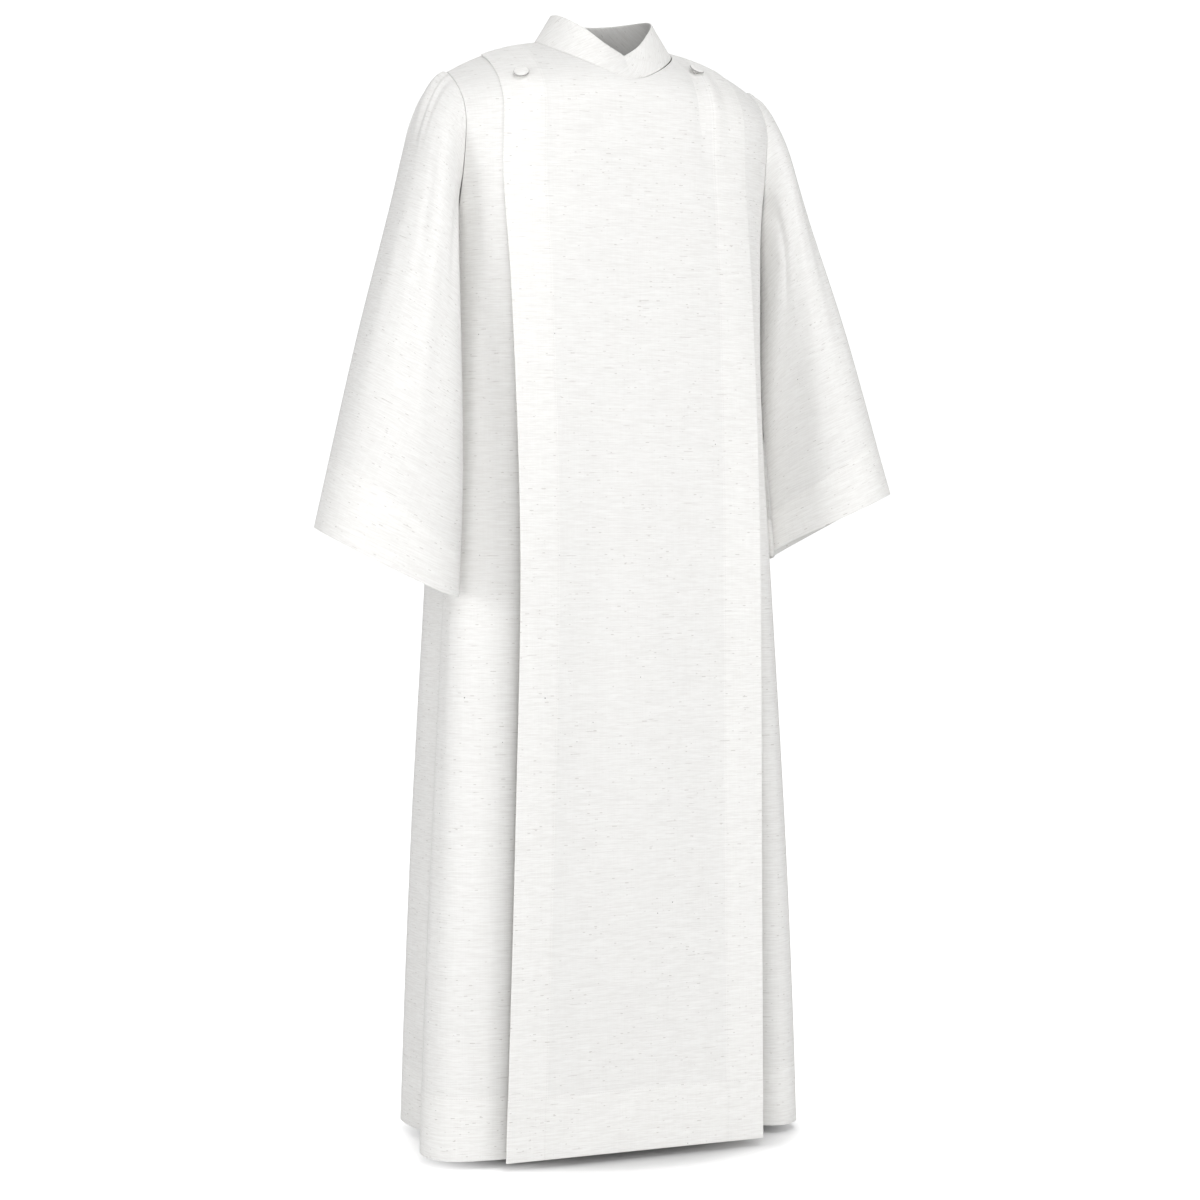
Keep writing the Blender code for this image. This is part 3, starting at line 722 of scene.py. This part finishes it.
def back():
    """One piece from side seam to side seam, cut out for the neck.

    Each column starts at its place on the neckline or shoulder seam and eases to an even share below.
    """
    neck = np.sin(np.linspace(0, math.pi / 2, BACK_COLUMNS["neck"])) * NECK_WIDTH
    shoulder = crowded(NECK_WIDTH, SHOULDER_TIP, BACK_COLUMNS["shoulder"], EDGE_GAP, "high")[1:]
    tops = np.concatenate([neck, shoulder])
    lows = crowded(0, 1, len(tops) - len(CLOSER), BACK_GAP, "high")
    drop = row_drops("back", neck_angle(tops, "back"), BACK_ROWS)
    high = top_share(tops)[None, :]
    share = high + (lows[None, :] - high) * ease(drop / ARMPIT)
    halves = [
        body_points(piece, "back", hand, drop, share, 0.0)
        for piece, hand in (("back_right", -1), ("back_left", 1))
    ]
    points = np.concatenate([halves[0][:, :0:-1], halves[1]], axis=1)
    drop = np.concatenate([drop[:, :0:-1], drop], axis=1)
    middle = len(tops) - 1
    across = lengths(points, 1)
    cut = flat_cut(points, across - across[:, middle : middle + 1], BACK_ROWS[0])
    points = creased(points, cut, BACK_CREASES)
    edges = np.stack([np.full_like(drop, FAR), HEM - drop], axis=-1)
    return points, cut, edges


def panel_points(x_top, drop):
    """On the body where it lies on it, and further forward where it hangs free.

    The body's front is d (1 - (x / w)^n)^(1/n), and the free share of the way from there to the panel's own
    forward place is added.
    """
    right = panel("right", drop) / PANEL[0][1]
    left = panel("left", drop) / PANEL[0][2]
    x = x_top * np.where(x_top < 0, right, left)
    low = np.minimum(drop, ARMPIT)
    power = body("square", low)
    deep = body("front", low) * turned(drop, "front")
    on_body = deep * (1 - (np.abs(x) / body("width", low)) ** power) ** (1 / power)
    y = on_body + (panel("forward", drop) - on_body) * panel("free", drop)
    return np.stack([x, -np.maximum(y, SEAM / 2), height(x, drop, "front")], axis=-1)


def front_panel():
    """The overlay: made from the body's points, moved out along the cross product of small steps."""
    neck = np.sin(np.linspace(-math.pi / 2, math.pi / 2, PANEL_TOPS["neck"])) * NECK_WIDTH
    right = crowded(NECK_WIDTH, PANEL[0][1], PANEL_TOPS["right"], EDGE_GAP, "high")[1:]
    left = crowded(NECK_WIDTH, PANEL[0][2], PANEL_TOPS["left"], EDGE_GAP, "high")[1:]
    tops = np.concatenate([-right[::-1], neck, left])[::-1]
    lows = crowded(tops[-1], tops[0], len(tops) - 2 * len(CLOSER), EDGE_GAP)[::-1]
    drop = row_drops("front", neck_angle(tops, "front"), PANEL_ROWS)
    x_top = tops + (lows - tops) * ease((drop - drop[:1]) / PANEL_SPREAD)
    across = panel_points(x_top + PANEL_STEP, drop) - panel_points(x_top - PANEL_STEP, drop)
    above = panel_points(x_top, np.maximum(drop - PANEL_STEP, TOP_DROP))
    below = panel_points(x_top, drop + PANEL_STEP)
    points = panel_points(x_top, drop) + unit(np.cross(below - above, across)) * PANEL_OUT
    cut = flat_cut(points, points[..., 0], PANEL_ROWS[0])
    points = creased(points, cut, PANEL_CREASES)
    side = np.minimum(points[:, :1, 0] - points[..., 0], points[..., 0] - points[:, -1:, 0])
    edges = np.stack([side, HEM - drop], axis=-1)
    return points, cut, edges


def armhole_points(turn, hand):
    """The armhole seam: 0 at the shoulder, a quarter turn at the front, half at the armpit."""
    drop = ARMPIT * (1 - np.cos(turn)) / 2
    outer = read(ARMHOLE, ARMHOLE_COLUMNS, "width", drop)
    sides = []
    for face, front in (("front", -1), ("back", 1)):
        x, y, _ = section(drop, face)
        deep = np.where(drop < ARMHOLE_END, look_up(outer, x, y), 0.0)
        sides.append(np.stack([hand * outer, front * deep, height(outer, drop, face)], axis=-1))
    return np.where((np.sin(turn) >= 0)[..., None], sides[0], sides[1])


def ring_points(table, turn, way, hand):
    """The sleeve's own rings: superellipses between their outer and inner points, one row for each way."""
    row = {name: read(table, SLEEVE_COLUMNS, name, way) for name in SLEEVE_COLUMNS[1:]}
    outer = np.stack([hand * row["out_x"], row["out_y"], row["out_z"]], axis=-1)
    inner = np.stack([hand * row["in_x"], row["in_y"], row["in_z"]], axis=-1)
    power = 2 / row["square"]
    up = np.sign(np.cos(turn)) * np.abs(np.cos(turn)) ** power
    ahead = np.sign(np.sin(turn)) * np.abs(np.sin(turn)) ** power
    deep = ahead * np.where(ahead > 0, row["front"], row["back"])
    aside = np.stack([0 * deep, -deep, -row["dip"] * deep], axis=-1)
    return (outer + inner) / 2 + up[..., None] * (outer - inner) / 2 + aside


def sleeve(table, hand, creases, hollows):
    """A wide hanging tube from the armhole to its hem, gathered across the top of its cap.

    The armhole's points blend into the rings' over the cap. The gathers are a cosine across the seam, in a
    window that fades out to both sides and down the sleeve.
    """
    even = np.linspace(0, 2 * math.pi, SLEEVE_TURNS)
    turn = (even - SLEEVE_BUNCH * np.sin(even))[None, :]
    way = SLEEVE_WAYS[:, None]
    start = armhole_points(turn, hand)
    low = (1 - np.cos(turn)) / 2
    step = SLEEVE_SEAM["shoulder"] * (1 - low) + SLEEVE_SEAM["armpit"] * low
    out = np.stack([hand * step, 0 * step, 0 * step], axis=-1)
    share = ease((way / CAP_BLEND) ** CAP_RISE)[..., None]
    points = (start + out) * (1 - share) + ring_points(table, turn, way, hand) * share
    across = start[..., 1] / GATHER_PITCH
    window = np.where(np.cos(turn) > 0, ease(1 - np.abs(across) / (GATHERS / 2)), 0.0)
    along = np.sin(math.pi * np.minimum((way / GATHER_LENGTH) ** GATHER_EARLY, 1))
    raised = GATHER_DEPTH * window * along * np.cos(2 * math.pi * across)
    points = points + raised[..., None] * np.array(GATHER_OUT) * (hand, 1, 1)
    if hand < 0:
        points = np.flip(points, axis=1)
    around = lengths(points, 1)
    total = around[:, -1:]
    across = np.where(around > total / 2, around - total, around)
    cut = flat_cut(points, around)
    from_top = flat_cut(points, hand * across)
    points = creased(points, from_top, creases, ring=True)
    points[..., 1] -= bells(from_top, hollows)
    points[:, -1] = points[:, 0]
    edges = np.stack([np.full_like(around, FAR), (1 - way) * SLEEVE_LENGTH + 0 * around], axis=-1)
    return points, cut, edges


def neck_points(angle):
    """The neckline: an ellipse in plan, laid on the shoulders. The angle is from the centre front."""
    sides = []
    x = NECK_WIDTH * np.sin(angle)
    for face in ("front", "back"):
        drop = turn_drop(neck_angle(x, face), face)
        sides.append(np.stack([x, -NECK_DEPTH[face] * np.cos(angle), height(x, drop, face)], axis=-1))
    return np.where((np.cos(angle) >= 0)[..., None], sides[0], sides[1])


def collar_tops(angle):
    """The collar's top edge: a smaller ellipse, with its heights from the table."""
    deep = np.where(np.cos(angle) >= 0, COLLAR_TOP_DEPTH["front"], COLLAR_TOP_DEPTH["back"])
    high = read(COLLAR_TOP, COLLAR_TOP_COLUMNS, "height", np.abs(np.degrees(angle)))
    return np.stack([COLLAR_TOP_WIDTH * np.sin(angle), -deep * np.cos(angle), high], axis=-1)


def collar(hand):
    """Half of the stand collar, from the centre back round its own side and past the centre front.

    Straight lines rise from the neckline to the top edge. Past the centre front they shorten to nothing at
    the half's end, and the left half moves in beneath the right one.
    """
    seam = math.degrees(COLLAR_SEAM / COLLAR_TOP_DEPTH["back"])
    front = COLLAR_FRONT["from"]
    step = COLLAR_FRONT["step"]
    turn = np.concatenate(
        [
            np.linspace(180 - seam, front, COLLAR_GRID["around"]),
            np.linspace(front - step, step - COLLAR_END, COLLAR_GRID["front"]),
        ]
    )
    angle = np.radians(turn * hand)
    base = neck_points(angle)
    top = collar_tops(angle)
    blend = ease((turn - COLLAR_CHANGE["from"]) / COLLAR_CHANGE["over"])[:, None]
    lift = COLLAR_LIFT["front"] * (1 - blend) + COLLAR_LIFT["back"] * blend
    base = base + unit(top - base) * lift
    high = np.minimum(1.0, (COLLAR_END + turn) / COLLAR_END)
    level = np.stack([-np.sin(angle), np.cos(angle)], axis=-1) * COLLAR_FACE
    inwards = np.concatenate([level, np.full((len(angle), 1), -COLLAR_LEAN)], axis=-1)
    if hand > 0:
        beneath = (WALL + LAP) * ease((COLLAR_UNDER["from"] - turn) / COLLAR_UNDER["over"])
        base = base + inwards * beneath[:, None]
        top = top + inwards * beneath[:, None]
    share = np.linspace(0, 1, COLLAR_GRID["rows"])[:, None, None] * high[None, :, None]
    points = base + (top - base) * share
    tall = lengths(points, 0)
    around = lengths(points, 1)[:1] + 0 * tall
    cut = np.stack([around, -tall], axis=-1)
    edges = np.stack([np.full_like(tall, FAR), tall[-1:] - tall], axis=-1)
    if hand < 0:
        points, cut, edges = (np.flip(grid, axis=1) for grid in (points, cut, edges))
    points, cut, edges = (np.flip(grid, axis=0) for grid in (points, cut, edges))
    return points, cut, edges


def button(x, y):
    """A covered button: its profile turned about the panel's normal, with soft gathers at its rim.

    The gathers widen the profile's radius by deep * cos(count * angle), more and more towards the rim.
    """
    drop = np.linspace(0, SHOULDER_TURN["front"], BUTTON_SEARCH)
    line = panel_points(np.full(drop.shape, x), drop)
    k = int(np.argmax(line[:, 1] <= y))
    seat = line[k]
    beside = panel_points(np.array([x + BUTTON_STEP]), drop[k : k + 1])[0]
    below = panel_points(np.array([x]), drop[k : k + 1] + BUTTON_STEP)[0]
    normal = unit(np.cross(below - seat, beside - seat))
    side = unit(np.cross(normal, (0.0, 0.0, 1.0)))
    ahead = np.cross(normal, side)
    radius = BUTTON_PROFILE[:, 0]
    around = np.linspace(0, 2 * math.pi, BUTTON_TURNS)[:, None]
    rim = np.clip((radius - BUTTON_GATHERS["from"]) / (1 - BUTTON_GATHERS["from"]), 0, 1)
    gathers = 1 + BUTTON_GATHERS["deep"] * np.cos(BUTTON_GATHERS["count"] * around) * rim
    flat = radius * BUTTON_RADIUS * gathers
    spoke = np.cos(around)[..., None] * side + np.sin(around)[..., None] * ahead
    centre = seat + normal * BUTTON_SEAT
    points = centre + flat[..., None] * spoke + BUTTON_PROFILE[:, 1][None, :, None] * normal
    cut = np.stack([flat * np.cos(around), flat * np.sin(around)], axis=-1)
    return points, cut, np.full_like(cut, FAR)


def turned_skin(points, cut, edges):
    """One closed skin from a turned profile, whose last turn is its first and whose ends are poles."""
    rows, columns = points.shape[:2]
    index = np.arange((rows - 1) * columns).reshape(rows - 1, columns)
    index = np.concatenate([index, index[:1]])
    return points[:-1].reshape(-1, 3), *quads(index, np.concatenate([cut, edges], axis=-1))


# Materials


def link(tree, start, end):
    """Joins one socket to another."""
    tree.links.new(start, end)


def feed(tree, value, socket):
    """Gives an input a value of its own or links another socket to it."""
    if isinstance(value, (int, float, tuple)):
        socket.default_value = value
    else:
        link(tree, value, socket)


def math_node(tree, operation, *values):
    """One step of arithmetic on numbers and sockets."""
    node = tree.nodes.new("ShaderNodeMath")
    node.operation = operation
    for socket, value in zip(node.inputs, values):
        feed(tree, value, socket)
    return node.outputs[0]


def noise(tree, name, x, y):
    """One of the weave's noises at (x, y), each times its own scale."""
    across, down, detail, rough, apart = WEAVE_NOISES[name]
    place = tree.nodes.new("ShaderNodeCombineXYZ")
    node = tree.nodes.new("ShaderNodeTexNoise")
    link(tree, math_node(tree, "MULTIPLY", x, across), place.inputs["X"])
    link(tree, math_node(tree, "MULTIPLY", y, down), place.inputs["Y"])
    place.inputs["Z"].default_value = apart
    node.inputs["Scale"].default_value = 1.0
    node.inputs["Detail"].default_value = detail
    node.inputs["Roughness"].default_value = rough
    link(tree, place.outputs[0], node.inputs["Vector"])
    return node.outputs["Fac"]


def band(tree, value, low, high):
    """0 below low, 1 above high, smooth between."""
    node = tree.nodes.new("ShaderNodeMapRange")
    node.interpolation_type = "SMOOTHSTEP"
    node.inputs["From Min"].default_value = low
    node.inputs["From Max"].default_value = high
    link(tree, value, node.inputs["Value"])
    return node.outputs[0]


def new_group(name, inputs, outputs):
    """A node group with float sockets by name, but for Place, which is a vector."""
    group = bpy.data.node_groups.new(name, "ShaderNodeTree")
    for way, names in (("INPUT", inputs), ("OUTPUT", outputs)):
        for socket in names:
            kind = "NodeSocketVector" if socket == "Place" else "NodeSocketFloat"
            group.interface.new_socket(socket, in_out=way, socket_type=kind)
    return group, group.nodes.new("NodeGroupInput"), group.nodes.new("NodeGroupOutput")


def weave_group():
    """Plain weave with slubs. In: the place in the cut. Out: tone, slubs, flecks and a height.

    Each thread has its own number, the whole part of place / pitch, and its own noise along its length.
    """
    group, entry, result = new_group("slub_weave", ("Place",), ("Tone", "Slub", "Fleck", "Height"))
    do = functools.partial(math_node, group)
    parts = group.nodes.new("ShaderNodeSeparateXYZ")
    link(group, entry.outputs["Place"], parts.inputs[0])
    u = parts.outputs[0]
    v = parts.outputs[1]
    # Threads wander a little, so that their lines aren't ruled
    sway = do("SUBTRACT", noise(group, "sway", u, v), 0.5)
    v = do("ADD", v, do("MULTIPLY", sway, THREAD_SWAY))
    across = do("DIVIDE", v, THREAD_PITCH)
    along = do("DIVIDE", u, THREAD_PITCH)
    weft = do("FLOOR", across)
    warp = do("FLOOR", along)
    # Thick and thin along each weft thread, weaker along the warp, and streaks of several threads
    tones = {
        "thick": noise(group, "thick", u, weft),
        "thin": noise(group, "thin", v, warp),
        "streak": noise(group, "streak", u, v),
        "patch": noise(group, "patch", u, v),
    }
    tone = 0.0
    for name, share in TONE_SHARES.items():
        tone = do("ADD", tone, do("MULTIPLY", tones[name], share))
    link(group, tone, result.inputs["Tone"])
    # Dark slubs in some weft threads: short ones, and rarer long ones
    shape = do("ABSOLUTE", do("SINE", do("MULTIPLY", across, math.pi)))
    slub = 0.0
    for name, limits in SLUB_BANDS.items():
        found = band(group, noise(group, name, u, weft), *limits)
        slub = do("MAXIMUM", slub, do("MULTIPLY", found, SLUB_SHARES[name]))
    link(group, do("MULTIPLY", slub, do("POWER", shape, SLUB_ROUND)), result.inputs["Slub"])
    # Tiny dark flecks: the middles of some cells, of uneven size
    cells = group.nodes.new("ShaderNodeTexVoronoi")
    cells.inputs["Scale"].default_value = FLECKS["scale"]
    cells.inputs["Randomness"].default_value = 1.0
    link(group, entry.outputs["Place"], cells.inputs["Vector"])
    tint = group.nodes.new("ShaderNodeSeparateColor")
    link(group, cells.outputs["Color"], tint.inputs[0])
    size = do("MULTIPLY", band(group, tint.outputs[0], *FLECK_BAND), FLECKS["size"])
    near = do("SUBTRACT", size, cells.outputs["Distance"])
    link(group, band(group, near, 0.0, FLECKS["soft"]), result.inputs["Fleck"])
    # Over and under: neighbouring crossings take turns
    waves = [do("SINE", do("MULTIPLY", place, math.pi)) for place in (across, along)]
    over = do("ADD", do("MULTIPLY", do("MULTIPLY", *waves), 0.5), 0.5)
    lift = do("MULTIPLY", do("MULTIPLY", shape, tones["thick"]), WEAVE_LIFT["thread"])
    link(group, do("ADD", do("MULTIPLY", over, WEAVE_LIFT["crossing"]), lift), result.inputs["Height"])
    return group


def turned_group():
    """A layer turned in along an edge. In: distances, its depth. Out: the doubled area, stitches, a height.

    The doubled area runs from the edge to the depth. A row of stitches runs just inside the layer's end.
    """
    sockets = ("Distance", "Along", "Depth")
    group, entry, result = new_group("turned_edge", sockets, ("Doubled", "Stitch", "Height"))
    do = functools.partial(math_node, group)
    inside = do("SUBTRACT", entry.outputs["Depth"], entry.outputs["Distance"])
    doubled = band(group, inside, -LAYER_EDGE, LAYER_EDGE)
    link(group, doubled, result.inputs["Doubled"])
    line = do("ABSOLUTE", do("SUBTRACT", inside, STITCH_IN))
    row = do("SUBTRACT", 1.0, band(group, line, *STITCH_BAND))
    wave = do("SINE", do("MULTIPLY", entry.outputs["Along"], 2 * math.pi / STITCH_PITCH))
    stitch = do("MULTIPLY", row, band(group, wave, *DASH_BAND))
    link(group, stitch, result.inputs["Stitch"])
    groove = do("SUBTRACT", 1.0, band(group, line, *GROOVE_BAND))
    sunk = do("SUBTRACT", doubled, do("MULTIPLY", groove, GROOVE_LIFT))
    link(group, do("ADD", sunk, do("MULTIPLY", stitch, STITCH_LIFT)), result.inputs["Height"])
    return group


WEAVE = weave_group()
TURNED = turned_group()


def placed(tree, group, **values):
    """A node group in a material, with its inputs by name."""
    node = tree.nodes.new("ShaderNodeGroup")
    node.node_tree = group
    for name, value in values.items():
        feed(tree, value, node.inputs[name])
    return node


def tinted(tree, share, start, end):
    """A colour between two, by share."""
    node = tree.nodes.new("ShaderNodeMix")
    node.data_type = "RGBA"
    node.clamp_factor = True
    link(tree, share, node.inputs["Factor"])
    colours = [socket for socket in node.inputs if socket.type == "RGBA"]
    for socket, value in zip(colours, (start, end)):
        feed(tree, value, socket)
    return [socket for socket in node.outputs if socket.type == "RGBA"][0]


def mapped(tree, name):
    """A map's vector, and its two coordinates."""
    node = tree.nodes.new("ShaderNodeUVMap")
    node.uv_map = name
    parts = tree.nodes.new("ShaderNodeSeparateXYZ")
    link(tree, node.outputs[0], parts.inputs[0])
    return node.outputs[0], parts.outputs


def cloth_finish(name, grain, hem=0.0, facing_depth=0.0, rim=0.0):
    """Slubbed plain weave along the cut, turned by the grain's angle, with hem and facing layers.

    With a rim, painted shade darkens the cloth towards that distance from the middle of the cut, for the
    shadow in the crevice beneath a button's rim.
    """
    finish = bpy.data.materials.new(name)
    finish.use_nodes = True
    tree = finish.node_tree
    do = functools.partial(math_node, tree)
    shader = tree.nodes["Principled BSDF"]
    cut, place = mapped(tree, "cut")
    distance = mapped(tree, "edges")[1]
    turn = tree.nodes.new("ShaderNodeMapping")
    turn.inputs["Rotation"].default_value = (0, 0, math.radians(grain))
    link(tree, cut, turn.inputs["Vector"])
    weave = placed(tree, WEAVE, Place=turn.outputs[0])
    colour = tinted(tree, band(tree, weave.outputs["Tone"], *TONE_BAND), DARK_THREAD, LIGHT_THREAD)
    raised = do("MULTIPLY", weave.outputs["Height"], WEAVE_DEPTH)
    doubled = 0.0
    for depth, far, along in ((hem, 1, 0), (facing_depth, 0, 1)):
        if depth:
            layer = placed(tree, TURNED, Distance=distance[far], Along=place[along], Depth=depth)
            doubled = do("MAXIMUM", doubled, layer.outputs["Doubled"])
            raised = do("ADD", raised, do("MULTIPLY", layer.outputs["Height"], LAYER_DEPTH))
            colour = tinted(tree, do("MULTIPLY", layer.outputs["Stitch"], STITCH_SHARE), colour, SHADE)
    if hem:
        single = do("MULTIPLY", do("SUBTRACT", 1.0, doubled), SINGLE_SHARE)
        colour = tinted(tree, single, colour, SHADE)
    colour = tinted(tree, do("MULTIPLY", weave.outputs["Slub"], SLUB_SHARE), colour, SLUB_COLOUR)
    colour = tinted(tree, do("MULTIPLY", weave.outputs["Fleck"], FLECK_SHARE), colour, FLECK_COLOUR)
    # Painted shade: the cloth darkens towards the button's rim, where the crevice beneath it is in shadow
    if rim:
        away = tree.nodes.new("ShaderNodeVectorMath")
        away.operation = "LENGTH"
        link(tree, cut, away.inputs[0])
        painted_rim_shade = band(tree, away.outputs["Value"], rim * RIM_START, rim)
        colour = tinted(tree, do("MULTIPLY", painted_rim_shade, RIM_SHARE), colour, RIM_SHADE)
    link(tree, colour, shader.inputs["Base Color"])
    rough = tree.nodes.new("ShaderNodeMapRange")
    rough.inputs["To Min"].default_value = ROUGHNESS["dark"]
    rough.inputs["To Max"].default_value = ROUGHNESS["light"]
    link(tree, weave.outputs["Tone"], rough.inputs["Value"])
    link(tree, rough.outputs[0], shader.inputs["Roughness"])
    for name, value in SHINE.items():
        shader.inputs[name].default_value = value
    bump = tree.nodes.new("ShaderNodeBump")
    bump.inputs["Strength"].default_value = BUMP_STRENGTH
    bump.inputs["Distance"].default_value = 1.0
    link(tree, raised, bump.inputs["Height"])
    link(tree, bump.outputs[0], shader.inputs["Normal"])
    return finish


def build():
    """Makes every piece of cloth, with its place in the flat cut as a map."""
    body_cloth = cloth_finish("body_cloth", 0.0, hem=BODY_HEM)
    side_cloth = cloth_finish("side_front_cloth", 0.0, hem=BODY_HEM, facing_depth=SIDE_FRONT_FACING)
    panel_cloth = cloth_finish("panel_cloth", 0.0, hem=BODY_HEM, facing_depth=PANEL_FACING)
    sleeve_cloth = cloth_finish("sleeve_cloth", 0.0, hem=SLEEVE_HEM)
    button_cloth = cloth_finish("button_cloth", 20.0, rim=BUTTON_RADIUS)

    shape = hemmed(front_panel(), BODY_HEM)
    piece = made("front_panel_cloth", shape, panel_cloth, "panel_cloth", "front_panel")
    for name, hand in (("right_side_front", -1), ("left_side_front", 1)):
        shape = hemmed(side_front(name, hand), BODY_HEM)
        piece = made(name + "_cloth", shape, side_cloth, "body_cloth", name)
    shape = hemmed(back(), BODY_HEM)
    piece = made("back_cloth", shape, body_cloth, "body_cloth", "back")
    for name, *form in (
        ("right_sleeve", RIGHT_SLEEVE, -1, RIGHT_SLEEVE_CREASES, ()),
        ("left_sleeve", LEFT_SLEEVE, 1, LEFT_SLEEVE_CREASES, LEFT_SLEEVE_HOLLOWS),
    ):
        shape = hemmed(sleeve(*form), SLEEVE_HEM, ring=True)
        piece = made(name + "_cloth", shape, sleeve_cloth, "sleeve_cloth", name)
    for name, hand, grain in (("collar_right", -1, 45.0), ("collar_left", 1, -45.0)):
        shape = shell(*collar(hand), half=COLLAR_THICK / 2)
        piece = made(name + "_cloth", shape, cloth_finish(name + "_cloth", grain), name + "_cloth", name)
    for name, x, y in BUTTONS:
        made(name + "_cloth", turned_skin(*button(x, y)), button_cloth, "button_cloth", name)


# Stage, light and camera


def backdrop():
    """A pale floor that curves up into a wall far behind: a quarter circle carried across."""
    level = -HEM - FLOOR["below"]
    angle = np.linspace(0, math.pi / 2, FLOOR_TURNS)
    depth = FLOOR["far"] + FLOOR["curve"] * np.sin(angle)
    rise = level + FLOOR["curve"] * (1 - np.cos(angle))
    y = np.concatenate([[FLOOR["near"]], depth, depth[-1:]])[:, None]
    z = np.concatenate([[level], rise, [FLOOR["top"]]])[:, None]
    x = FLOOR["wide"] * np.array([-1.0, 1.0])
    turn = math.radians(CAMERA_TURN)
    across = x * math.cos(turn) + y * math.sin(turn)
    ahead = y * math.cos(turn) - x * math.sin(turn)
    points = np.stack([across, ahead, z + 0 * across], axis=-1)
    index = np.arange(len(y) * 2).reshape(-1, 2)
    faces = np.concatenate([index[:-1], index[1:, ::-1]], axis=1)
    mesh = bpy.data.meshes.new("floor")
    mesh.from_pydata(points.reshape(-1, 3).tolist(), [], faces.tolist())
    mesh.shade_smooth()
    floor = bpy.data.objects.new("floor", mesh)
    bpy.context.scene.collection.objects.link(floor)
    mesh.materials.append(paper())


def paper():
    """Pale paper with painted light: it glows, which whitens the floor and lights the robe a little, but for
    a soft oval round the foot of the robe, where the glow fades out into painted shade under the hem.
    """
    finish = bpy.data.materials.new("floor_paper")
    finish.use_nodes = True
    tree = finish.node_tree
    do = functools.partial(math_node, tree)
    shader = tree.nodes["Principled BSDF"]
    shader.inputs["Base Color"].default_value = FLOOR_COLOUR
    shader.inputs["Emission Color"].default_value = (1, 1, 1, 1)
    shader.inputs["Roughness"].default_value = 0.9
    shader.inputs["Specular IOR Level"].default_value = 0.1
    place = tree.nodes.new("ShaderNodeTexCoord")
    parts = tree.nodes.new("ShaderNodeSeparateXYZ")
    link(tree, place.outputs["Object"], parts.inputs[0])
    squares = []
    for socket, (middle, reach) in zip(parts.outputs, OVAL):
        way = do("DIVIDE", do("SUBTRACT", socket, middle), reach)
        squares.append(do("MULTIPLY", way, way))
    # Painted light: the paper's glow, which fades out into painted shade inside the oval round the foot
    glow = band(tree, do("SQRT", do("ADD", *squares)), *OVAL_BAND)
    seen = tree.nodes.new("ShaderNodeLightPath")
    seen_glow = do("MULTIPLY", seen.outputs["Is Camera Ray"], PAPER_GLOW["seen"])
    strength = do("ADD", PAPER_GLOW["lights"], seen_glow)
    link(tree, do("MULTIPLY", glow, strength), shader.inputs["Emission Strength"])
    return finish


def light(name, place, target, power, size):
    """A square lamp at a place, turned to shine on the target."""
    data = bpy.data.lights.new(name, "AREA")
    data.energy = power
    data.shape = "RECTANGLE"
    data.size = size
    data.size_y = size
    lamp = bpy.data.objects.new(name, data)
    bpy.context.scene.collection.objects.link(lamp)
    lamp.location = place
    away = unit(np.array(target) - np.array(place))
    lamp.rotation_euler = (math.acos(-away[2]), 0, math.atan2(away[0], -away[1]) + math.pi)


def studio():
    """Soft lights in front on each side, above, far to the left and behind, an even sky and the camera."""
    for row in LIGHTS:
        light(*row)
    world = bpy.data.worlds.new("studio")
    world.use_nodes = True
    sky = world.node_tree.nodes["Background"]
    sky.inputs["Color"].default_value = (1.0, 1.0, 1.0, 1)
    sky.inputs["Strength"].default_value = SKY
    bpy.context.scene.world = world
    bpy.context.scene.view_settings.view_transform = "Standard"
    data = bpy.data.cameras.new("camera")
    data.sensor_width = CAMERA_FILM
    data.lens = CAMERA_LENS
    camera = bpy.data.objects.new("camera", data)
    bpy.context.scene.collection.objects.link(camera)
    turn = math.radians(CAMERA_TURN)
    camera.location = (-CAMERA_REACH * math.sin(turn), -CAMERA_REACH * math.cos(turn), CAMERA_HEIGHT)
    camera.rotation_euler = (math.pi / 2 - CAMERA_PITCH, 0, -turn)
    bpy.context.scene.camera = camera


build()
backdrop()
studio()
